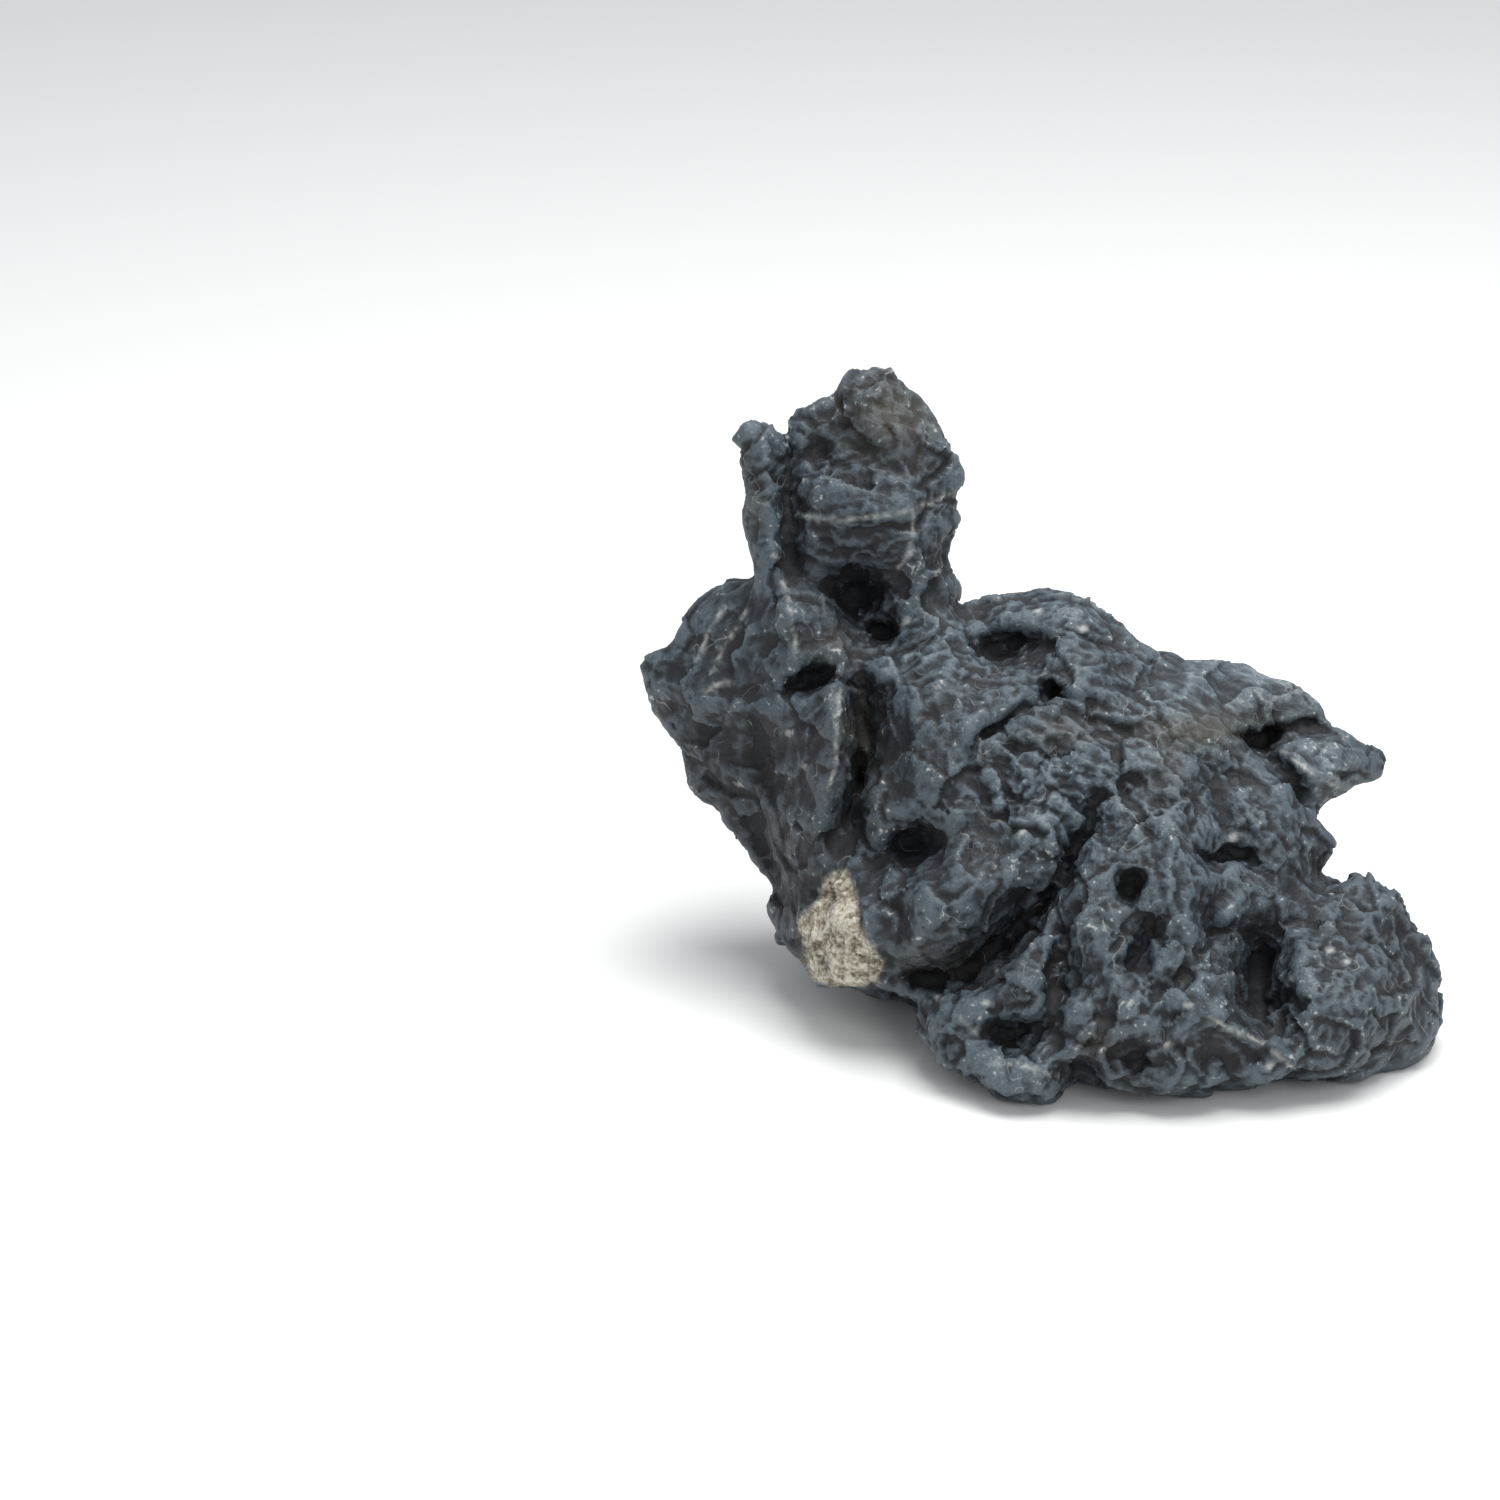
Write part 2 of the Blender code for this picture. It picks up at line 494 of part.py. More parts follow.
def seen(points):
    """The inverse of place: across, up and away of an array of points."""
    x, y, z = (points / MM).T
    z = z + FLOOR_DROP
    rise = y * DOWN_SINE + z * DOWN_COSINE
    away = y * DOWN_COSINE - z * DOWN_SINE
    spread = 1.0 + away / VIEW_DISTANCE
    across = VIEW_CENTRE[0] + (x - VIEW_CENTRE[0]) / spread
    up = VIEW_CENTRE[1] + (rise - VIEW_CENTRE[1]) / spread
    return across, up, away


def step(low, high, values):
    """A smooth ramp from 0 at low to 1 at high."""
    share = np.clip((values - low) / (high - low), 0.0, 1.0)
    return share * share * (3.0 - 2.0 * share)


def ring(mass, size, shift, depth, centre):
    """One closed loop of points: the rim shrunk and moved towards a cap, at this depth."""
    rim = np.array(mass["rim"], float)
    middle = rim.mean(axis=0)
    home = middle + (np.array(centre, float) - middle) * shift
    points = home + (rim - middle) * size
    lean_across, lean_up = mass["lean"]
    tilt = lean_across * (points[:, 0] - middle[0]) + lean_up * (points[:, 1] - middle[1])
    return place(points[:, 0], points[:, 1], depth + tilt)


def mass_body(mass):
    """A closed body: rings from the back cap through the rim to the front cap."""
    rings = []
    for side, key, shares in ((1, "back", (1.0, 0.7, 0.35)), (-1, "front", (0.0, 0.35, 0.7, 1.0))):
        reach, cap, centre = mass[key]
        for share in shares:
            curve = share ** mass["bulge"]
            size = 1.0 - (1.0 - cap) * curve
            rings.append(ring(mass, size, curve, mass["away"] + side * reach * share, centre))
    body = bmesh.new()
    loops = []
    for points in rings:
        vertices = [body.verts.new(point) for point in points]
        pairs = zip(vertices, vertices[1:] + vertices[:1])
        loops.append([body.edges.new(pair) for pair in pairs])
    for first, second in zip(loops, loops[1:]):
        bmesh.ops.bridge_loops(body, edges=first + second)
    for loop in (loops[0], loops[-1]):
        bmesh.ops.contextual_create(body, geom=loop)
    bmesh.ops.triangulate(body, faces=[face for face in body.faces if len(face.verts) > 4])
    bmesh.ops.recalc_face_normals(body, faces=body.faces)
    return body


def core_body(centre, radii, turn):
    """A stretched ball behind the masses, in the stone's frame."""
    body = bmesh.new()
    bmesh.ops.create_icosphere(body, subdivisions=2, radius=1.0)
    bmesh.ops.scale(body, vec=Vector(radii) * MM, verts=body.verts)
    spin = Matrix.Rotation(math.radians(turn), 3, "Z")
    bmesh.ops.rotate(body, cent=(0, 0, 0), matrix=spin, verts=body.verts)
    bmesh.ops.translate(body, vec=Vector(centre) * MM, verts=body.verts)
    return body


def gathered(bodies):
    """One mesh that holds all the bodies, still overlapping."""
    whole = bmesh.new()
    for body in bodies:
        piece = bpy.data.meshes.new("piece")
        body.to_mesh(piece)
        body.free()
        whole.from_mesh(piece)
        bpy.data.meshes.remove(piece)
    mesh = bpy.data.meshes.new("rock")
    whole.to_mesh(mesh)
    whole.free()
    return mesh


def apply_modifier(obj, kind, **settings):
    """Adds one modifier, keeps its result as the object's mesh and removes it again."""
    modifier = obj.modifiers.new(kind.lower(), kind)
    for name, value in settings.items():
        setattr(modifier, name, value)
    bpy.context.view_layer.update()
    graph = bpy.context.evaluated_depsgraph_get()
    mesh = bpy.data.meshes.new_from_object(obj.evaluated_get(graph))
    obj.modifiers.clear()
    obj.data = mesh


def values_of(mesh, name):
    """The coordinates or normals of all vertices as an array of rows."""
    values = np.empty(len(mesh.vertices) * 3, np.float32)
    mesh.vertices.foreach_get(name, values)
    return values.reshape(-1, 3).astype(float)


def set_points(mesh, points):
    """Moves all vertices of the mesh."""
    mesh.vertices.foreach_set("co", points.astype(np.float32).ravel())
    mesh.update()


def distance_to_path(across, up, path):
    """Distance to a path of straight pieces, and the side: above 0 on its left."""
    best = np.full(across.shape, 1e9)
    side = np.zeros(across.shape)
    for (a0, u0), (a1, u1) in zip(path, path[1:]):
        da, du = a1 - a0, u1 - u0
        length = math.hypot(da, du)
        along = ((across - a0) * da + (up - u0) * du) / length ** 2
        along = np.clip(along, 0.0, 1.0)
        off_a = across - (a0 + along * da)
        off_u = up - (u0 + along * du)
        distance = np.hypot(off_a, off_u)
        nearer = distance < best
        best = np.where(nearer, distance, best)
        side = np.where(nearer, (da * off_u - du * off_a) / length, side)
    return best, side


def swell(points, size, seed):
    """Smooth noise between about -1 and 1 with swellings of this size."""
    scaled = points / (size * MM) + seed
    return np.array([noise.noise(Vector(point)) for point in scaled])


def front_share(mesh):
    """1 where a vertex faces the front view and nothing hides it, fading to 0 at the edges."""
    points, facing = values_of(mesh, "co"), values_of(mesh, "normal")
    across, up, away = seen(points)
    eye = Vector(place(VIEW_CENTRE[0], VIEW_CENTRE[1], -VIEW_DISTANCE * 0.999))
    body = bmesh.new()
    body.from_mesh(mesh)
    tree = BVHTree.FromBMesh(body)
    body.free()
    share = np.zeros(len(points))
    for index, (point, normal) in enumerate(zip(points, facing)):
        start = Vector(point)
        sight = (eye - start).normalized()
        lit = sight.dot(Vector(normal))
        if lit > 0.02:
            hit = tree.ray_cast(start + sight * 2.5 * MM, sight)
            if hit[0] is None:
                share[index] = lit
    return step(0.02, 0.30, share)


def faced(mesh):
    """Brings the front of the stone to the facets of the relief, along the view."""
    corners = [point for region in RELIEF.values() for point in region]
    flat = [Vector((across, up)) for across, up, away in corners]
    result = geometry.delaunay_2d_cdt(flat, [], [], 0, 1e-5)
    sheet = [Vector((across, up, corners[source[0]][2])) for (across, up), source in
             zip(result[0], result[3])]
    tree = BVHTree.FromPolygons(sheet, result[2])
    across, up, away = seen(values_of(mesh, "co"))
    share = front_share(mesh)
    target = away.copy()
    for index in np.flatnonzero(share):
        hit = tree.ray_cast(Vector((across[index], up[index], -500)), Vector((0, 0, 1)))
        if hit[0] is not None:
            target[index] = hit[0].z
    set_points(mesh, place(across, up, away + (target - away) * share))


def carved(mesh):
    """Pushes the front of the stone in along the view: lines and hollows."""
    points = values_of(mesh, "co")
    across, up, away = seen(points)
    share = front_share(mesh)
    across_w = across + 3.2 * swell(points, 9, 5.2) + 1.6 * swell(points, 4.5, 2.4)
    up_w = up + 3.2 * swell(points, 9, 17.8) + 1.6 * swell(points, 4.5, 8.1)
    depth = np.zeros(len(points))
    for path, width, amount, side in LINES:
        distance, hand = distance_to_path(across_w, up_w, path)
        profile = np.clip(1.0 - distance / width, 0.0, 1.0)
        profile = profile ** 1.3
        if side:
            profile = profile * step(-1.5, 1.5, hand * side)
        depth += amount * profile
    for (centre_a, centre_u), (radius_a, radius_u), turn, amount in HOLLOWS:
        cosine, sine = math.cos(math.radians(turn)), math.sin(math.radians(turn))
        off_a, off_u = across_w - centre_a, up_w - centre_u
        along = (off_a * cosine + off_u * sine) / radius_a
        over = (off_u * cosine - off_a * sine) / radius_u
        profile = np.clip(1.0 - along ** 2 - over ** 2, 0.0, 1.0)
        depth += amount * profile
    set_points(mesh, place(across, up, away + depth * share))


def outline_steps(spacing):
    """Points along the outline at this spacing, each with its outward direction."""
    places, outwards = [], []
    for (a0, u0), (a1, u1) in zip(OUTLINE, OUTLINE[1:] + OUTLINE[:1]):
        length = math.hypot(a1 - a0, u1 - u0)
        count = max(1, round(length / spacing))
        for index in range(count):
            share = (index + 0.5) / count
            places.append((a0 + (a1 - a0) * share, u0 + (u1 - u0) * share))
            outwards.append((-(u1 - u0) / length, (a1 - a0) / length))
    return np.array(places), np.array(outwards)


def trimmed(mesh, rounds):
    """Moves the edge of the stone, as the front view shows it, onto the outline."""
    places, outwards = outline_steps(2.5)
    places += outwards * TRIM_OVERSIZE
    for turn in range(rounds):
        across, up, away = seen(values_of(mesh, "co"))
        flat = np.stack([across, up], axis=1)
        pull = np.zeros_like(flat)
        weights = np.full(len(flat), 1e-6)
        errors = np.zeros(len(places))
        for index, (place_2d, outward) in enumerate(zip(places, outwards)):
            offset = flat - place_2d
            out = offset @ outward
            along = offset @ np.array((outward[1], -outward[0]))
            close = (np.abs(along) < 2.2) & (np.abs(out) < 9.0)
            if close.any():
                errors[index] = max(-3.0, out[close].max())
        for place_2d, outward, error in zip(places, outwards, errors):
            gap = ((flat - place_2d) ** 2).sum(axis=1)
            weight = np.exp(-gap / 26.0)
            pull -= weight[:, None] * error * outward
            weights += weight
        fade = np.clip(weights, 0.0, 1.0)
        flat += 0.8 * pull / weights[:, None] * fade[:, None]
        set_points(mesh, place(flat[:, 0], flat[:, 1], away))


def cups(points, size, stretch, seed):
    """Shallow cups with crests between them: 0 in the middle of a cup, about 1 on a crest."""
    scaled = points @ np.array(stretch).T / (size * MM) + seed
    near = np.array([noise.voronoi(Vector(point))[0][0] for point in scaled])
    return np.clip(near, 0.0, 1.1) ** 2


def worn(mesh):
    """Wears cups and dents into the whole surface."""
    points, facing = values_of(mesh, "co"), values_of(mesh, "normal")
    folds = ((0.8, 0.0, 0.5), (0.0, 1.0, 0.0), (-0.9, 0.0, 1.3))
    plain = ((1.0, 0.0, 0.0), (0.0, 1.0, 0.0), (0.0, 0.0, 0.8))
    height = 8.0 * (cups(points, 34, plain, 3.1) - 0.27)
    height += 6.5 * (cups(points, 19, folds, 7.7) - 0.25)
    height += 3.6 * (cups(points, 11, folds, 1.3) - 0.22)
    height += 2.2 * swell(points, 26, 0.0)
    across, up, away = seen(points)
    share = front_share(mesh)
    for (centre_a, centre_u), (radius_a, radius_u), kept in CALM:
        gap = np.hypot((across - centre_a) / radius_a, (up - centre_u) / radius_u)
        height *= 1.0 - (1.0 - kept) * share * (1.0 - step(0.7, 1.1, gap))
    set_points(mesh, points + facing * (height * MM)[:, None])


def cut_flat(mesh):
    """Cuts the stone flat at the floor."""
    body = bmesh.new()
    body.from_mesh(mesh)
    everything = body.verts[:] + body.edges[:] + body.faces[:]
    cut = bmesh.ops.bisect_plane(
        body, geom=everything, dist=0.2 * MM, plane_co=(0, 0, 0), plane_no=(0, 0, -1),
        clear_outer=True,
    )
    rim = [item for item in cut["geom_cut"] if isinstance(item, bmesh.types.BMEdge)]
    for edge in rim:
        for vertex in edge.verts:
            vertex.co.z = 0.0
    bmesh.ops.holes_fill(body, edges=body.edges, sides=0)
    bmesh.ops.triangulate(body, faces=body.faces)
    bmesh.ops.recalc_face_normals(body, faces=body.faces)
    body.to_mesh(mesh)
    body.free()
    mesh.update()


def keep_largest(mesh):
    """Drops loose crumbs: only the biggest connected body stays."""
    body = bmesh.new()
    body.from_mesh(mesh)
    unseen = set(body.verts)
    groups = []
    while unseen:
        queue = [unseen.pop()]
        group = list(queue)
        while queue:
            vertex = queue.pop()
            for edge in vertex.link_edges:
                other = edge.other_vert(vertex)
                if other in unseen:
                    unseen.remove(other)
                    queue.append(other)
                    group.append(other)
        groups.append(group)
    groups.sort(key=len)
    crumbs = [vertex for group in groups[:-1] for vertex in group]
    bmesh.ops.delete(body, geom=crumbs, context="VERTS")
    body.to_mesh(mesh)
    body.free()
    mesh.update()


def centred(mesh):
    """Puts the origin under the middle of the stone's box."""
    points = values_of(mesh, "co")
    shift = -(points.min(axis=0) + points.max(axis=0)) / 2.0
    shift[2] = 0.0
    set_points(mesh, points + shift)
    print("moved by", (shift / MM).round(2).tolist())


def stone_material():
    """Dull dark blue-grey limestone."""
    material = bpy.data.materials.new("stone")
    material.use_nodes = True
    shader = material.node_tree.nodes["Principled BSDF"]
    shader.inputs["Base Color"].default_value = STONE_COLOUR
    shader.inputs["Roughness"].default_value = STONE_ROUGHNESS
    shader.inputs["Metallic"].default_value = 0.0
    return material


def main():
    for obj in list(bpy.data.objects):
        bpy.data.objects.remove(obj)
    bodies = [mass_body(mass) for mass in MASSES]
    bodies += [core_body(*core) for core in CORES]
    rock = bpy.data.objects.new("rock", gathered(bodies))
    bpy.context.scene.collection.objects.link(rock)
    apply_modifier(rock, "REMESH", mode="VOXEL", voxel_size=FUSE_GRID * MM)
    faced(rock.data)
    apply_modifier(rock, "REMESH", mode="VOXEL", voxel_size=FUSE_GRID * MM)
    worn(rock.data)
    share = FACETS / (2.0 * len(rock.data.polygons))
    apply_modifier(rock, "DECIMATE", decimate_type="COLLAPSE", ratio=share)
    apply_modifier(rock, "REMESH", mode="VOXEL", voxel_size=FINE_GRID * MM)
    carved(rock.data)
    trimmed(rock.data, 4)
    apply_modifier(rock, "REMESH", mode="VOXEL", voxel_size=FINE_GRID * MM)
    keep_largest(rock.data)
    share = TRIANGLES / (2.0 * len(rock.data.polygons))
    apply_modifier(rock, "DECIMATE", decimate_type="COLLAPSE", ratio=share)
    cut_flat(rock.data)
    keep_largest(rock.data)
    centred(rock.data)
    rock.data.materials.clear()
    rock.data.materials.append(stone_material())
    rock.data.polygons.foreach_set("use_smooth", [True] * len(rock.data.polygons))


main()
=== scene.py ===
"""The looks of an aquascaping rock: weathered dark limestone on a pale studio floor.

The rock's solid comes from the frame. A copy of it is refined, carved with the crests, crevices
and pits of the real stone's front, roughened in folds that follow its bedding, and dressed in
a limestone finish with painted light and painted shade. Marks are laid out on the front view in
millimetres: across to the right and up the view, as the camera sees the stone.
"""

import logging
import math
from dataclasses import dataclass, field
from enum import Enum

import bmesh
import bpy
import numpy as np
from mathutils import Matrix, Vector

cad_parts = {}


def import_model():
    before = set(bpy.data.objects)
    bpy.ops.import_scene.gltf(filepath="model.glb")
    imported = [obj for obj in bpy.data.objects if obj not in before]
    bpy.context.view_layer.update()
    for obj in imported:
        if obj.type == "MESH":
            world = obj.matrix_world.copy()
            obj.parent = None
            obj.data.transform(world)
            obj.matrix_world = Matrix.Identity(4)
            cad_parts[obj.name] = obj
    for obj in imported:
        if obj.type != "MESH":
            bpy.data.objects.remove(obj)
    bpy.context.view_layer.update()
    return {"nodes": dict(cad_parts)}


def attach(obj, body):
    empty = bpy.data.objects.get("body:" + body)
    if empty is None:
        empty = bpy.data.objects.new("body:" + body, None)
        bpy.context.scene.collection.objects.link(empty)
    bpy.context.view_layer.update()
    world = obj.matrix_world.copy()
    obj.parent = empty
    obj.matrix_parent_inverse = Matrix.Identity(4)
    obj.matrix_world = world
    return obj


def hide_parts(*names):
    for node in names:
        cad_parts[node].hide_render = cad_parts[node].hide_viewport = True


MM = 0.001
LOG = logging.getLogger("rock")

# A patterned number is eased through a window without corners.
EASED = {"interpolation_type": "SMOOTHSTEP"}

Point = tuple[float, float]
Tree = bpy.types.NodeTree
Socket = bpy.types.NodeSocket
Fields = dict[str, bpy.types.NodeSocket]
Stops = tuple[tuple[float, str], ...]
Inputs = tuple[tuple[str, float], ...]


def linear(code: str) -> tuple[float, float, float, float]:
    """Turn an sRGB colour into the linear numbers that a shader reads.

    Args:
        code: the colour as hex, such as #4d565d.

    Returns:
        Red, green, blue and an alpha of 1.
    """
    parts = [int(code[i:i + 2], 16) / 255.0 for i in (1, 3, 5)]
    red, green, blue = (p / 12.92 if p <= 0.04045 else ((p + 0.055) / 1.055) ** 2.4 for p in parts)
    return red, green, blue, 1.0


def smooth(values: np.ndarray, low: float, high: float) -> np.ndarray:
    """Ease from 0 to 1 as the values pass from low to high.

    Args:
        values: any numbers.
        low: where the rise starts.
        high: where it ends.

    Returns:
        The eased numbers.
    """
    share = np.clip((values - low) / (high - low), 0.0, 1.0)
    return share * share * (3.0 - 2.0 * share)


def add(tree: Tree, kind: str, settings: dict | None = None, inputs: dict | None = None,
        stops: Stops = ()) -> bpy.types.Node:
    """Add a node with its settings and links.

    Args:
        tree: the material's tree.
        kind: the node's type.
        settings: its properties by name.
        inputs: a value or another node's output for each input, by name or number.
        stops: a colour ramp's places, from 0 to 1, and their colours.

    Returns:
        The node.
    """
    made = tree.nodes.new(kind)
    for name, value in (settings or {}).items():
        setattr(made, name, value)
    for key, value in (inputs or {}).items():
        if isinstance(value, Socket):
            tree.links.new(value, made.inputs[key])
        else:
            made.inputs[key].default_value = value
    band = made.color_ramp.elements if stops else ()
    while len(band) < len(stops):
        band.new(1.0)
    for element, (at, _) in zip(band, stops):
        element.position = at
    for element, (_, code) in zip(band, stops):
        element.color = linear(code)
    return made


@dataclass(frozen=True)
class FrontView:
    """The photograph's view: 22 degrees down, from 1.5 m, measured in millimetres.

    Its upright plane passes through the middle of the stone, where the view is at full size.
    """

    tilt: float = math.radians(22.0)
    distance: float = 1500.0
    width: float = 540.0
    centre: Point = (-90.0, 126.0)
    floor_drop: float = 29.5
    shift: tuple[float, float, float] = (-11.66, -19.93, 0.0)

    @property
    def look(self) -> np.ndarray:
        """The direction in which the camera looks."""
        return np.array((0.0, math.cos(self.tilt), -math.sin(self.tilt)))

    def way(self, turn: float) -> np.ndarray:
        """Lay a direction in the view's plane.

        Args:
            turn: its angle from the view's right, in degrees.

        Returns:
            The direction in the frame.
        """
        right = np.array((1.0, 0.0, 0.0))
        rise = np.array((0.0, math.sin(self.tilt), math.cos(self.tilt)))
        return right * math.cos(math.radians(turn)) + rise * math.sin(math.radians(turn))

    def target(self) -> Vector:
        """Find the point that shows at the middle of the picture.

        Returns:
            Its place in the frame, in metres.
        """
        across, up = self.centre
        middle = (across, up * math.sin(self.tilt), up * math.cos(self.tilt) - self.floor_drop)
        return Vector(m + s for m, s in zip(middle, self.shift)) * MM

    def seen(self, points: np.ndarray) -> np.ndarray:
        """Read where points show in the view.

        Args:
            points: places in the frame, in millimetres.

        Returns:
            Across and up for each point, in millimetres.
        """
        x, y, z = (points - np.array(self.shift)).T
        z = z + self.floor_drop
        sine, cosine = math.sin(self.tilt), math.cos(self.tilt)
        spread = 1.0 + (y * cosine - z * sine) / self.distance
        across = self.centre[0] + (x - self.centre[0]) / spread
        up = self.centre[1] + (y * sine + z * cosine - self.centre[1]) / spread
        return np.column_stack((across, up))


@dataclass(frozen=True)
class Bend:
    """A push that breaks up straight edges: how far and how broad, in millimetres.

    Each way that it pushes is a pattern of some octaves, read a number of steps away.
    """

    reach: float
    size: float
    octaves: int
    step: float
    numbers: tuple[int, ...]


class Grain:
    """Patterns in space that stay the same on each run: swells, crests and scattered spots."""

    SIDE = 32
    FAR = 9.0
    # These bring swells and crests to about -1 to 1.
    SWELL_GAIN = 1.6
    CREST_GAIN = 2.4
    # How far apart the octaves are read, in millimetres, and how each size compares with the last.
    SWELL_STEP = 37.0
    CREST_STEP = 53.0
    FINER = 0.53

    def __init__(self, seed: int) -> None:
        """Draw a direction and a spot for each of the lattice's corners.

        Args:
            seed: which set of patterns to draw.
        """
        draw = np.random.default_rng(seed)
        ways = draw.normal(size=(self.SIDE, self.SIDE, self.SIDE, 3))
        self.ways = ways / np.linalg.norm(ways, axis=3, keepdims=True)
        self.spots = draw.random((self.SIDE, self.SIDE, self.SIDE, 4))

    def swells(self, points: np.ndarray, size: float) -> np.ndarray:
        """Read smooth noise, about -1 to 1.

        Args:
            points: places, in millimetres.
            size: how far apart its swells are, in millimetres.

        Returns:
            One number for each point.
        """
        places = points / size
        low = np.floor(places).astype(int)
        part = places - low
        ease = part ** 3 * (part * (part * 6.0 - 15.0) + 10.0)
        total = np.zeros(len(points))
        for corner in np.ndindex(2, 2, 2):
            step = np.array(corner)
            i, j, k = ((low + step) % self.SIDE).T
            share = np.prod(np.where(step == 1, ease, 1.0 - ease), axis=1)
            total += share * np.einsum("ij,ij->i", self.ways[i, j, k], part - step)
        return total * self.SWELL_GAIN

    def fractal(self, points: np.ndarray, size: float, octaves: int, keep: float = 0.5) -> np.ndarray:
        """Add finer and finer swells.

        Args:
            points: places, in millimetres.
            size: the coarsest size, in millimetres.
            octaves: how many sizes, each about half the last.
            keep: how strong each size is beside the last.

        Returns:
            One number for each point, about -1 to 1.
        """
        total = np.zeros(len(points))
        strength, weight = 1.0, 0.0
        for octave in range(octaves):
            total += strength * self.swells(points + self.SWELL_STEP * octave, size)
            weight += strength
            size *= self.FINER
            strength *= keep
        return total / weight

    def pushed(self, points: np.ndarray, bend: Bend) -> np.ndarray:
        """Read how far a bend pushes points.

        Args:
            points: places, in millimetres.
            bend: its sizes.

        Returns:
            The push in millimetres, with a column for each way.
        """
        return bend.reach * np.column_stack([
            self.fractal(points + bend.step * n, bend.size, bend.octaves) for n in bend.numbers])

    def crests(self, points: np.ndarray, size: float, octaves: int) -> np.ndarray:
        """Read sharp crests between round hollows.

        Args:
            points: places, in millimetres.
            size: how far apart the crests are, in millimetres.
            octaves: how many sizes, each half the last.

        Returns:
            One number for each point, from about -1 in a hollow to 1 on a crest.
        """
        total = np.zeros(len(points))
        strength, weight = 1.0, 0.0
        for octave in range(octaves):
            swells = self.swells(points + self.CREST_STEP * octave, size)
            total += strength * (1.0 - self.CREST_GAIN * np.abs(swells))
            weight += strength
            size *= 0.5
            strength *= 0.5
        return total / weight

    def nearest(self, points: np.ndarray, size: float) -> tuple[np.ndarray, np.ndarray, np.ndarray]:
        """Find the nearest of many scattered spots.

        Args:
            points: places, in millimetres.
            size: how far apart the spots are, in millimetres.

        Returns:
            In sizes, the distance to the nearest spot and the height of a flat face that is
            tilted about it, and the spot's own random number.
        """
        places = points / size
        low = np.floor(places).astype(int)
        least = np.full(len(points), self.FAR)
        face, own = np.zeros(len(points)), np.zeros(len(points))
        for corner in np.ndindex(3, 3, 3):
            cell = low + np.array(corner) - 1
            i, j, k = (cell % self.SIDE).T
            spot = self.spots[i, j, k]
            offset = places - cell - spot[:, :3]
            apart = np.linalg.norm(offset, axis=1)
            closer = apart < least
            least = np.where(closer, apart, least)
            face = np.where(closer, np.einsum("ij,ij->i", offset, self.ways[i, j, k]), face)
            own = np.where(closer, spot[:, 3], own)
        return least, face, own


class Mark(Enum):
    """What a stroke does to the stone."""

    CREST = "a thin raised edge"
    CREVICE = "a deep crack with raised lips"
    GULLY = "a round-bottomed channel"
    VEIN = "a thread of calcite, barely raised"


@dataclass(frozen=True)
class Stroke:
    """A long mark: its half width and depth, and the points that it follows in the view."""

    kind: Mark
    width: float
    depth: float
    path: tuple[Point, ...]


@dataclass(frozen=True)
class Pit:
    """A round or oval hollow, or a lump where the depth is negative."""

    centre: Point
    radii: Point
    turn: float
    depth: float


@dataclass(frozen=True)
class Bedding:
    """A part of the stone whose folds run one way: where, how far, the way and their size."""

    centre: Point
    reach: float
    turn: float
    spacing: float
    depth: float


@dataclass(frozen=True)
class Patch:
    """A soft-edged area, used for stains of the stone's own colour, for painted light and for painted shade.
    """

    centre: Point
    radii: Point
    strength: float


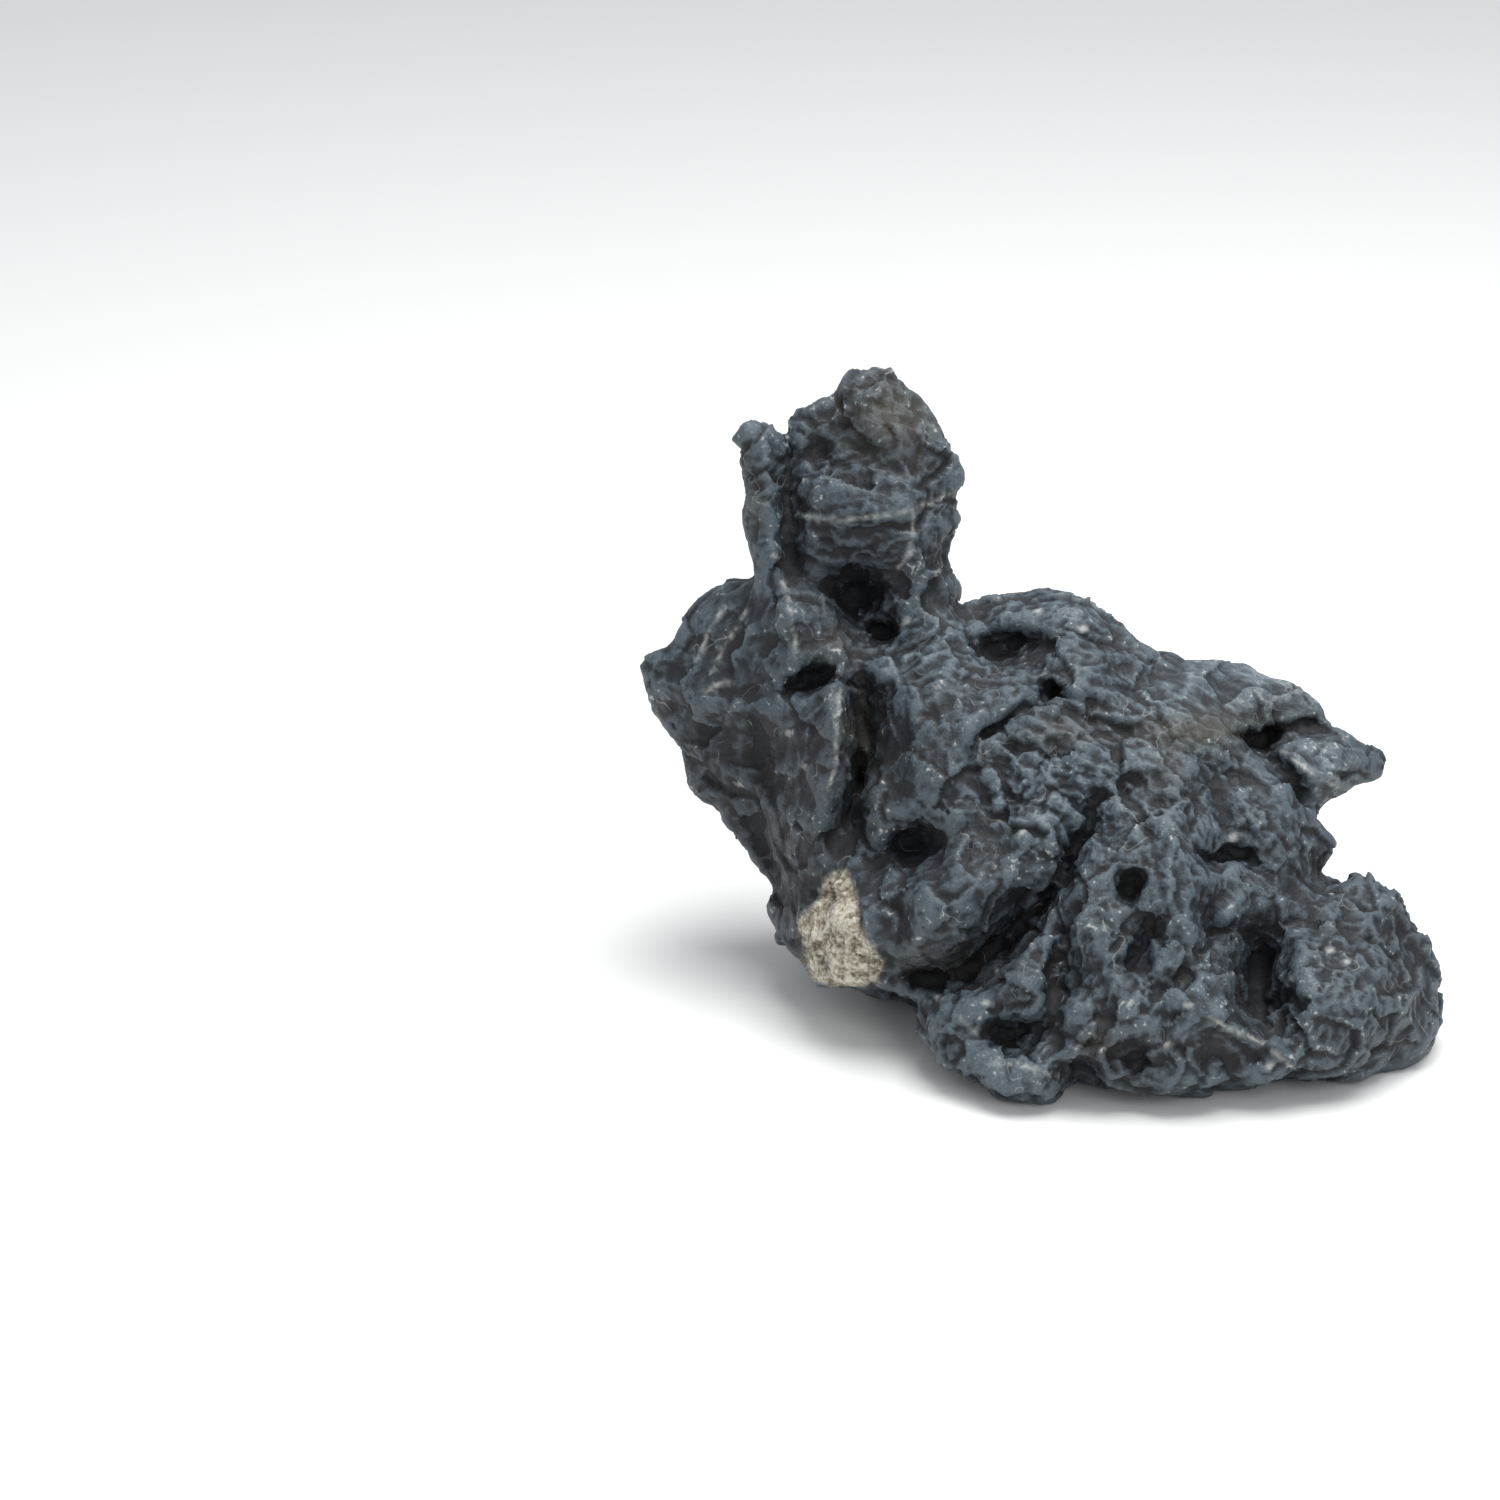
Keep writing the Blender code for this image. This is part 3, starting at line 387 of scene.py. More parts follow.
STROKES = (
    Stroke(Mark.CREVICE, 1.6, 2.6, ((-57, 255), (-57, 250), (-54, 242), (-50, 236), (-44, 232))),
    Stroke(Mark.CREST, 1.2, 1.2, ((-55, 256), (-55, 250), (-52, 243), (-48, 237))),
    Stroke(Mark.GULLY, 3.0, 2.2, ((-82, 240), (-79, 228), (-80, 214), (-77, 200), (-74, 190))),
    Stroke(Mark.CREST, 1.2, 1.4, ((-76, 236), (-77, 226), (-75, 217), (-73, 211))),
    Stroke(Mark.VEIN, 0.8, 0.5, ((-72, 211), (-63, 209), (-50, 209), (-32, 212), (-19, 218))),
    Stroke(Mark.CREVICE, 1.3, 1.3, ((-72, 207), (-60, 205), (-45, 205), (-30, 208), (-19, 212))),
    Stroke(Mark.VEIN, 0.9, 0.6, ((-31, 213), (-31.5, 204), (-33, 197), (-36, 192))),
    Stroke(Mark.CREVICE, 1.2, 1.2, ((-62, 200), (-48, 196), (-34, 194), (-22, 197))),
    Stroke(Mark.CREST, 1.3, 1.0, ((-70, 229), (-58, 226), (-46, 227), (-34, 222), (-22, 226))),
    Stroke(Mark.CREST, 1.4, 1.3, ((-80, 185), (-77, 172), (-75, 160), (-73, 152))),
    Stroke(Mark.VEIN, 0.8, 0.4, ((-78, 186), (-75, 172), (-73, 158))),
    Stroke(Mark.CREST, 1.3, 1.2, ((-125, 153), (-110, 144), (-95, 142), (-80, 141))),
    Stroke(Mark.VEIN, 0.8, 0.3, ((-106, 147), (-101, 150), (-96, 150))),
    Stroke(Mark.VEIN, 0.7, 0.3, ((-99, 178), (-105, 168), (-109, 158))),
    Stroke(Mark.VEIN, 0.7, 0.3, ((-91, 176), (-99, 164), (-104, 154))),
    Stroke(Mark.VEIN, 0.9, 0.8, ((-57, 148), (-59, 135), (-59, 120), (-62, 112))),
    Stroke(Mark.CREST, 1.3, 1.0, ((-78, 140), (-68, 145), (-58, 150))),
    Stroke(Mark.CREVICE, 2.6, 3.5, ((-54, 146), (-50, 136), (-48, 125), (-47, 114), (-50, 105))),
    Stroke(Mark.GULLY, 3.4, 2.2, ((-43, 150), (-42, 138), (-45, 128))),
    Stroke(Mark.CREST, 1.0, 1.4, ((-52, 100), (-47, 102), (-43, 106))),
    Stroke(Mark.CREVICE, 1.5, 1.8, ((-78, 148), (-70, 151), (-60, 156))),
    Stroke(Mark.CREST, 1.4, 1.8, ((-36, 158), (-24, 158), (-12, 161), (-5, 154), (5, 151), (12, 153))),
    Stroke(Mark.CREST, 1.2, 1.4, ((12, 153), (20, 157), (28, 160))),
    Stroke(Mark.GULLY, 3.0, 3.0, ((-8, 158), (2, 157), (12, 160), (20, 165))),
    Stroke(Mark.CREVICE, 1.8, 2.6, ((15, 143), (6, 139), (0, 134), (-8, 131))),
    Stroke(Mark.CREST, 1.2, 1.6, ((13, 147), (4, 143), (-3, 138), (-12, 134))),
    Stroke(Mark.CREST, 1.1, 1.2, ((25, 150), (42, 145), (60, 140), (80, 131), (95, 122))),
    Stroke(Mark.CREVICE, 1.0, 1.2, ((24, 146), (42, 141), (60, 136), (78, 127), (92, 118))),
    Stroke(Mark.CREST, 1.1, 1.1, ((28, 142), (44, 137), (58, 132), (72, 123), (84, 114))),
    Stroke(Mark.CREVICE, 1.0, 1.1, ((30, 138), (44, 133), (56, 128), (68, 119))),
    Stroke(Mark.CREST, 1.1, 1.2, ((8, 133), (16, 129), (22, 132), (30, 127), (36, 129))),
    Stroke(Mark.CREST, 1.1, 1.3, ((-4, 128), (4, 122), (12, 124), (18, 117), (27, 119), (34, 113))),
    Stroke(Mark.CREST, 1.1, 1.3, ((0, 114), (8, 110), (16, 112), (24, 105), (34, 104), (42, 98))),
    Stroke(Mark.CREVICE, 1.2, 1.5, ((-6, 121), (3, 117), (11, 117), (19, 111), (28, 112))),
    Stroke(Mark.CREST, 1.1, 1.1, ((42, 126), (50, 121), (58, 116), (66, 107), (70, 99))),
    Stroke(Mark.CREST, 1.1, 1.1, ((46, 112), (54, 104), (60, 96), (64, 88))),
    Stroke(Mark.CREVICE, 1.2, 1.3, ((40, 117), (47, 110), (52, 101), (56, 93))),
    Stroke(Mark.CREVICE, 1.4, 2.4, ((82, 131), (92, 132), (103, 134), (116, 136))),
    Stroke(Mark.GULLY, 2.0, 2.0, ((97, 126), (102, 118), (109, 110))),
    Stroke(Mark.VEIN, 0.7, 0.3, ((101, 126), (112, 118), (122, 112))),
    Stroke(Mark.CREVICE, 0.9, 0.9, ((104, 128), (114, 122), (126, 115))),
    Stroke(Mark.CREVICE, 1.6, 2.0, ((70, 88), (80, 86), (92, 89), (102, 94))),
    Stroke(Mark.CREST, 1.3, 1.4, ((66, 93), (76, 93), (88, 96), (100, 100))),
    Stroke(Mark.CREVICE, 3.0, 3.6, ((27, 92), (21, 80), (15, 70), (5, 61), (-6, 51), (-18, 45), (-32, 44))),
    Stroke(Mark.CREST, 1.3, 1.3, ((32, 94), (27, 82), (22, 72), (14, 60), (3, 51), (-8, 44))),
    Stroke(Mark.CREVICE, 2.0, 2.6, ((55, 66), (51, 57), (46, 46))),
    Stroke(Mark.CREVICE, 2.0, 2.4, ((74, 74), (72, 64), (73, 55), (68, 47), (64, 40))),
    Stroke(Mark.CREST, 1.4, 1.5, ((60, 78), (62, 66), (60, 54), (55, 42), (52, 32))),
    Stroke(Mark.CREST, 1.3, 1.3, ((40, 74), (41, 62), (37, 48), (33, 36), (30, 26))),
    Stroke(Mark.GULLY, 3.2, 2.8, ((26, 66), (23, 56), (20, 44), (19, 32), (17, 25))),
    Stroke(Mark.CREVICE, 1.2, 1.5, ((0, 20), (7, 18.5), (15, 22))),
    Stroke(Mark.VEIN, 0.8, 0.4, ((-15, 30), (-11, 27), (-8, 24))),
    Stroke(Mark.VEIN, 0.8, 0.4, ((-3, 12.5), (8, 12.5), (14, 10), (21, 8.5))),
    Stroke(Mark.CREST, 1.3, 1.3, ((75, 30), (85, 25), (95, 20), (105, 12), (112, 8))),
    Stroke(Mark.VEIN, 0.8, 0.2, ((75, 30), (85, 25), (95, 20), (105, 12))),
    Stroke(Mark.CREVICE, 1.5, 2.0, ((78, 24), (88, 18), (98, 11))),
    Stroke(Mark.CREST, 1.6, 1.8, ((110, 62), (108, 50), (101, 40), (98, 30), (99, 22))),
    Stroke(Mark.CREVICE, 1.4, 1.6, ((30, 30), (42, 28), (54, 30), (66, 32))),
    Stroke(Mark.CREST, 1.2, 1.2, ((28, 34), (40, 33), (52, 35), (68, 36))),
    Stroke(Mark.CREVICE, 1.3, 1.6, ((24, 22), (34, 18), (46, 16), (58, 12))),
)

PITS = (
    Pit((-65, 233), (5, 5), 0, 2.2), Pit((-89, 222), (3.5, 4.5), 0, 1.8),
    Pit((-86, 208), (4, 5), 0, 2.2), Pit((-84, 197), (3, 3), 0, 1.6),
    Pit((-52, 183), (10, 9), 20, 3.0), Pit((-42, 168), (5, 4), 0, 2.6),
    Pit((-68, 150), (8, 4), 25, 3.0), Pit((-40, 147), (4, 3), 10, 1.6),
    Pit((-26, 138), (4.5, 2.5), -10, 1.4), Pit((-17, 153), (3, 1.8), 20, 1.3),
    Pit((4, 164), (11, 6), 10, 3.2), Pit((20.5, 145.5), (4.6, 4.0), 0, 4.2),
    Pit((17, 122), (3.2, 2.6), 20, 1.6), Pit((34, 103), (4, 4.5), 20, 2.2),
    Pit((79, 105), (3, 7), 20, 1.6), Pit((93, 128), (4.6, 4.6), 0, 3.6),
    Pit((55, 97), (4, 5), 0, 1.4), Pit((47.5, 77.5), (4.2, 6.2), -12, 4.0),
    Pit((-31, 93), (10, 5), 15, 3.4), Pit((-34, 82), (4, 6), 30, 1.8),
    Pit((-24, 84), (4, 5), -30, 1.8), Pit((6, 25), (10, 5.5), 5, 2.6),
    Pit((93, 42), (11, 20), 12, 2.2), Pit((46, 15), (6, 5), 0, 2.2),
    Pit((70, 17), (9, 6), 0, 1.6), Pit((116, 46), (4, 3), 30, 1.2),
    Pit((-2, 78), (4, 3), 0, -1.2), Pit((8, 96), (4, 4), 0, -1.4),
    Pit((-46, 67), (4, 7), 0, -1.6), Pit((-18, 24), (9, 10), 0, -1.4),
    Pit((-22, 116), (7, 6), 0, -1.0), Pit((-66, 168), (5, 4), 0, -1.2),
    Pit((-58, 160), (4, 3), 0, -1.2), Pit((105, 44), (5, 5), 0, -1.2),
    Pit((93, 8), (8, 6), 0, -1.6), Pit((-89, 241), (6, 4.5), 0, -1.0),
)

BEDDINGS = (
    Bedding((-45, 222), 34, 8, 6.5, 0.85), Bedding((-100, 166), 28, 52, 5.0, 0.40),
    Bedding((-108, 120), 34, -52, 8.0, 0.70), Bedding((-72, 118), 20, 72, 6.0, 0.50),
    Bedding((-28, 122), 20, -62, 9.0, 0.65), Bedding((-36, 160), 16, 15, 4.5, 1.00),
    Bedding((20, 118), 30, -30, 7.0, 1.70), Bedding((86, 150), 34, -14, 5.0, 0.40),
    Bedding((76, 106), 24, -42, 5.0, 1.10), Bedding((-12, 70), 24, 25, 9.0, 0.80),
    Bedding((38, 50), 30, 78, 8.5, 1.20), Bedding((116, 40), 24, 55, 6.5, 1.10),
    Bedding((14, 14), 28, 8, 6.0, 1.10), Bedding((20, 170), 24, -8, 6.0, 0.95),
)

# The outline of the cream crust at the foot of the chin.
CRUST = ((-56, 83), (-63, 80), (-65, 72), (-72, 66), (-73, 62), (-71, 55), (-71, 50), (-69, 46),
         (-68, 43), (-60, 41), (-50, 41), (-44, 43), (-42, 50), (-50, 60), (-52, 74))

WARM = (
    Patch((-40, 246), (16, 14), 0.75), Patch((72, 133), (18, 5), 0.85), Patch((96, 140), (20, 7), 0.25),
    Patch((-50, 130), (7, 16), 0.45), Patch((-20, 50), (16, 6), 0.40), Patch((-60, 164), (8, 7), 0.45),
    Patch((36, 20), (7, 6), 0.45), Patch((-88, 214), (4, 10), 0.40), Patch((60, 120), (7, 9), 0.30),
    Patch((22, 133), (14, 6), 0.35), Patch((46, 74), (7, 9), 0.20),
)

# Painted light: paler patches where the stone's upper faces are lit from above.
PAINTED_LIGHT = (
    Patch((84, 149), (38, 12), 0.95), Patch((-100, 166), (24, 22), 0.25), Patch((-36, 160), (20, 9), 0.75),
    Patch((30, 178), (26, 8), 0.60), Patch((114, 118), (16, 12), 0.65), Patch((20, 118), (28, 22), 0.55),
    Patch((58, 120), (6, 9), 0.80), Patch((66, 100), (24, 20), 0.35), Patch((94, 8), (10, 6), 0.55),
    Patch((4, 11), (16, 7), 0.55), Patch((12, 104), (18, 12), 0.35), Patch((-45, 232), (30, 24), 0.20),
    Patch((52, 52), (30, 30), 0.20), Patch((112, 42), (14, 14), 0.30), Patch((-16, 32), (10, 8), 0.30),
)

# Painted shade: darker patches on undersides, in hollows and in the deep pits and cracks.
PAINTED_SHADE = (
    Patch((-50, 182), (16, 14), 0.85), Patch((-48, 124), (8, 24), 1.00), Patch((-106, 112), (36, 28), 1.00),
    Patch((-82, 80), (22, 30), 0.95), Patch((-10, 68), (28, 20), 0.35), Patch((-30, 92), (14, 7), 0.90),
    Patch((-14, 50), (28, 8), 0.80), Patch((92, 40), (14, 24), 0.60), Patch((46, 14), (10, 7), 0.60),
    Patch((4, 163), (13, 8), 0.55), Patch((-68, 150), (10, 5), 0.80), Patch((93, 128), (7, 6), 0.90),
    Patch((-74, 206), (6, 16), 0.30), Patch((20, 145), (5, 5), 0.80), Patch((47, 77), (5, 7), 0.70),
    Patch((50, 56), (5, 11), 0.60), Patch((-30, 122), (16, 18), 0.25), Patch((80, 16), (18, 8), 0.40),
    Patch((-66, 120), (18, 22), 0.25), Patch((-46, 212), (30, 30), 0.20),
)

# Single calcite grains: across, up and size.
FLECKS = (
    (-34, 172, 2.0), (-33, 197, 2.0), (-81, 196, 1.6), (-76, 132, 1.6), (-94, 114, 1.5), (84, 94, 2.6),
    (97, 12, 2.0), (60, 20, 1.8), (47, 35, 2.0), (68, 34, 1.8), (-22, 37, 1.8), (-5, 35, 2.2),
    (119, 54, 2.0), (125, 50, 2.2), (105, 44, 1.8), (8, 96, 1.6), (-76, 115, 1.3), (-70, 120, 1.3),
    (37, 18, 1.6), (30, 170, 2.0), (14, 176, 1.5), (-2, 84, 1.3),
)


class MarkSheet:
    """The front view with its marks, read at many points at once."""

    # How fast a patch fades: at its own radius it still has 40% of its strength.
    FADE = 0.9

    def __init__(self, places: np.ndarray) -> None:
        """Keep the points.

        Args:
            places: across and up for each point, in millimetres.
        """
        self.across, self.up = places.T

    def from_path(self, path: tuple[Point, ...], closed: bool = False) -> tuple[np.ndarray, np.ndarray]:
        """Measure how far the points lie from a path.

        Args:
            path: its corners.
            closed: whether the last corner joins the first.

        Returns:
            The distance, and the share of the path's length that lies before the nearest point.
        """
        corners = [np.array(p, float) for p in path]
        if closed:
            corners.append(corners[0])
        lengths = [float(np.linalg.norm(b - a)) for a, b in zip(corners, corners[1:])]
        whole, before = sum(lengths), 0.0
        nearest = np.full(len(self.across), np.inf)
        share = np.zeros(len(self.across))
        for a, b, length in zip(corners, corners[1:], lengths):
            way = (b - a) / length
            along = np.clip((self.across - a[0]) * way[0] + (self.up - a[1]) * way[1], 0.0, length)
            apart = np.hypot(self.across - a[0] - way[0] * along, self.up - a[1] - way[1] * along)
            closer = apart < nearest
            nearest = np.where(closer, apart, nearest)
            share = np.where(closer, (before + along) / whole, share)
            before += length
        return nearest, share

    def inside(self, rim: tuple[Point, ...], edge: float) -> np.ndarray:
        """Say how far inside an outline the points are.

        Args:
            rim: the outline's corners.
            edge: how wide its soft edge is.

        Returns:
            1 inside, 0 outside.
        """
        odd = np.zeros(len(self.across), bool)
        for (ax, ay), (bx, by) in zip(rim, rim[1:] + rim[:1]):
            if ay == by:
                continue
            crosses = (ay > self.up) != (by > self.up)
            odd ^= crosses & (self.across < (bx - ax) * (self.up - ay) / (by - ay) + ax)
        apart, _ = self.from_path(rim, closed=True)
        return smooth(np.where(odd, apart, -apart), -edge, edge)

    def from_middle(self, centre: Point, radii: Point, turn: float = 0.0) -> np.ndarray:
        """Measure the points from an oval's middle.

        Args:
            centre: its middle.
            radii: its two radii.
            turn: how far it is turned, in degrees.

        Returns:
            The distance as a share of the oval's radius that way.
        """
        sine, cosine = math.sin(math.radians(turn)), math.cos(math.radians(turn))
        dx, dy = self.across - centre[0], self.up - centre[1]
        return np.hypot((dx * cosine + dy * sine) / radii[0], (dy * cosine - dx * sine) / radii[1])

    def patches(self, spots: tuple[Patch, ...]) -> np.ndarray:
        """Lay soft patches over each other.

        Args:
            spots: the patches.

        Returns:
            How far the points are covered, 0 to 1.
        """
        total = np.zeros(len(self.across))
        for spot in spots:
            out = self.from_middle(spot.centre, spot.radii)
            cover = spot.strength * np.exp(-out ** 2 * self.FADE)
            total = 1.0 - (1.0 - total) * (1.0 - cover)
        return total


@dataclass(frozen=True)
class Mixture:
    """A weighted sum of named fields: what it starts from, and each field's weight."""

    start: float
    weights: tuple[tuple[str, float], ...]


@dataclass(frozen=True)
class LimestoneFinish:
    """Weathered dark limestone with calcite: matt, blue-grey, with painted light and painted shade.

    Dense fine stone gives a dark body colour. Water has polished the crests a little, calcite
    threads and grains catch the light, and dust and iron stain tint some hollows brown. Crests
    are painted paler, partly as rubbed stone and partly as painted highlight; hollows and
    undersides are painted darker as painted shade, and upward faces lighter as painted light.
    The stone's true grit is too fine to show, so it is drawn at 0.7 mm.
    """

    # From the deepest hollow, painted shade, to the most rubbed crest, partly painted highlight:
    # a tone from 0 to 1, and its colour.
    tones: Stops = (
        (0.10, "#11161b"), (0.30, "#20282f"), (0.50, "#374149"), (0.72, "#535f67"), (0.98, "#a0a8ab"))
    crust_tones: Stops = ((0.15, "#544c40"), (0.50, "#968d7b"), (0.85, "#cbc5b6"))
    calcite: str = "#cfd0ca"
    stain: str = "#6f6650"
    ior: float = 1.52
    bump_mm: float = 0.8

    # Each pattern's name, the size of its swells in millimetres, its detail and its roughness.
    patterns: tuple[tuple[str, float, float, float], ...] = (
        ("cloud", 42.0, 4.0, 0.55), ("mottle", 7.0, 6.0, 0.62), ("grain", 1.3, 3.0, 0.60),
        ("grit", 0.7, 2.0, 0.60), ("speck", 2.1, 2.0, 0.50), ("cluster", 19.0, 2.0, 0.50),
        ("sheet", 34.0, 3.0, 0.50), ("gap", 11.0, 2.0, 0.50))
    marks: tuple[str, ...] = ("crest", "shade", "vein", "crust", "warm")

    # Tone: random mottle, cloud and grain, plus painted light and painted shade from crest and shade.
    tone: Mixture = Mixture(
        -0.34, (("mottle", 0.34), ("cloud", 0.22), ("grain", 0.40), ("crest", 0.27), ("shade", 0.36)))
    stained: Mixture = Mixture(-0.27, (("warm", 0.75), ("mottle", 0.30), ("cloud", 0.28)))
    crusted: Mixture = Mixture(-0.55, (("grain", 1.60), ("mottle", 0.50), ("crest", 0.20)))
    specked: Mixture = Mixture(0.0, (("speck", 1.00), ("cluster", 0.35), ("crest", 0.10)))
    roughness: Mixture = Mixture(0.37, (("mottle", 0.30), ("grain", 0.20), ("crest", -0.10)))
    relief: Mixture = Mixture(0.0, (("mottle", 0.50), ("grain", 0.55), ("grit", 0.30)))

    # The windows' inputs. A thread is where the sheet pattern passes half, broken where gap is low.
    speck_window: Inputs = (("From Min", 0.90), ("From Max", 1.05), ("To Min", 0.0), ("To Max", 0.50))
    thread_window: Inputs = (("From Min", 0.0008), ("From Max", 0.0035), ("To Min", 0.22), ("To Max", 0.0))
    gap_window: Inputs = (("From Min", 0.48), ("From Max", 0.60))
    half: float = 0.5
    stain_cover: float = 0.34

    def material(self) -> bpy.types.Material:
        """Build the stone's material.

        Returns:
            The material, which reads the rock's own attributes and Object coordinates.
        """
        made = bpy.data.materials.new("weathered_limestone")
        made.use_nodes = True
        tree = made.node_tree
        tree.nodes.clear()
        fields = self.fields(tree)
        bump = add(tree, "ShaderNodeBump", {}, {
            "Strength": 1.0, "Distance": self.bump_mm * MM, "Height": self.mixed(tree, fields, self.relief)})
        shader = add(tree, "ShaderNodeBsdfPrincipled", {}, {
            "Base Color": self.colour(tree, fields),
            "Roughness": self.mixed(tree, fields, self.roughness),
            "IOR": self.ior,
            "Normal": bump.outputs["Normal"],
        })
        add(tree, "ShaderNodeOutputMaterial", {}, {"Surface": shader.outputs["BSDF"]})
        return made

    def fields(self, tree: Tree) -> Fields:
        """Lay out what the finish mixes.

        Args:
            tree: the material's tree.

        Returns:
            The socket of each pattern and of each of the rock's attributes, by name.
        """
        place = add(tree, "ShaderNodeTexCoord").outputs["Object"]
        made = {}
        for name, size, detail, rough in self.patterns:
            made[name] = add(tree, "ShaderNodeTexNoise", {}, {
                "Vector": place, "Scale": 1.0 / (size * MM), "Detail": detail, "Roughness": rough,
            }).outputs["Fac"]
        for name in self.marks:
            made[name] = add(tree, "ShaderNodeAttribute", {"attribute_name": name}).outputs["Fac"]
        return made

    def mixed(self, tree: Tree, fields: Fields, mixture: Mixture) -> Socket:
        """Add up fields by their weights.

        Args:
            tree: the material's tree.
            fields: the sockets by name.
            mixture: which fields, and how much of each.

        Returns:
            The socket that holds the sum.
        """
        so_far = mixture.start
        for name, weight in mixture.weights:
            so_far = add(tree, "ShaderNodeMath", {"operation": "MULTIPLY_ADD"},
                         {0: fields[name], 1: weight, 2: so_far}).outputs[0]
        return so_far

    def colour(self, tree: Tree, fields: Fields) -> Socket:
        """Paint the stone: its body first, with its painted light and painted shade, then stain, grains,
        threads and crust.

        Args:
            tree: the material's tree.
            fields: the sockets by name.

        Returns:
            The finished colour's socket.
        """
        stained = self.mixed(tree, fields, self.stained)
        cover = add(tree, "ShaderNodeMath", {"operation": "MULTIPLY"}, {0: stained, 1: self.stain_cover})
        specks = add(tree, "ShaderNodeMapRange", EASED,
                     {"Value": self.mixed(tree, fields, self.specked)} | dict(self.speck_window))
        crust = add(tree, "ShaderNodeValToRGB", {}, {"Fac": self.mixed(tree, fields, self.crusted)},
                    self.crust_tones)
        body = add(tree, "ShaderNodeValToRGB", {}, {"Fac": self.mixed(tree, fields, self.tone)}, self.tones)
        layers = (
            (stained, linear(self.stain), "SOFT_LIGHT"),
            (cover.outputs[0], linear(self.stain), "MIX"),
            (specks.outputs[0], linear(self.calcite), "MIX"),
            (self.threads(tree, fields), linear(self.calcite), "MIX"),
            (fields["crust"], crust.outputs["Color"], "MIX"),
        )
        colour = body.outputs["Color"]
        for share, over, way in layers:
            settings = {"data_type": "RGBA", "blend_type": way, "clamp_factor": True}
            colour = add(tree, "ShaderNodeMix", settings, {0: share, 6: colour, 7: over}).outputs[2]
        return colour

    def threads(self, tree: Tree, fields: Fields) -> Socket:
        """Draw hair-thin broken threads of calcite, and the veins marked on the rock.

        Args:
            tree: the material's tree.
            fields: the sockets by name.

        Returns:
            The socket that says how far calcite covers the stone.
        """
        off = add(tree, "ShaderNodeMath", {"operation": "SUBTRACT"}, {0: fields["sheet"], 1: self.half})
        off = add(tree, "ShaderNodeMath", {"operation": "ABSOLUTE"}, {0: off.outputs[0]})
        thin = add(tree, "ShaderNodeMapRange", EASED, {"Value": off.outputs[0]} | dict(self.thread_window))
        shown = add(tree, "ShaderNodeMapRange", EASED, {"Value": fields["gap"]} | dict(self.gap_window))
        thin = add(tree, "ShaderNodeMath", {"operation": "MULTIPLY"},
                   {0: thin.outputs[0], 1: shown.outputs[0]})
        both = add(tree, "ShaderNodeMath", {"operation": "MAXIMUM"}, {0: thin.outputs[0], 1: fields["vein"]})
        return both.outputs[0]


@dataclass(frozen=True)
class Cup:
    """Dissolved cups: their spacing and depth, rim and wall, how common, and where they are read."""

    size: float
    depth: float
    rim: float
    wall: float
    rare: float
    sure: float
    place: float


@dataclass(frozen=True)
class Chip:
    """Chipped faces: their spacing, steepness and where they are read."""

    size: float
    steep: float
    place: float


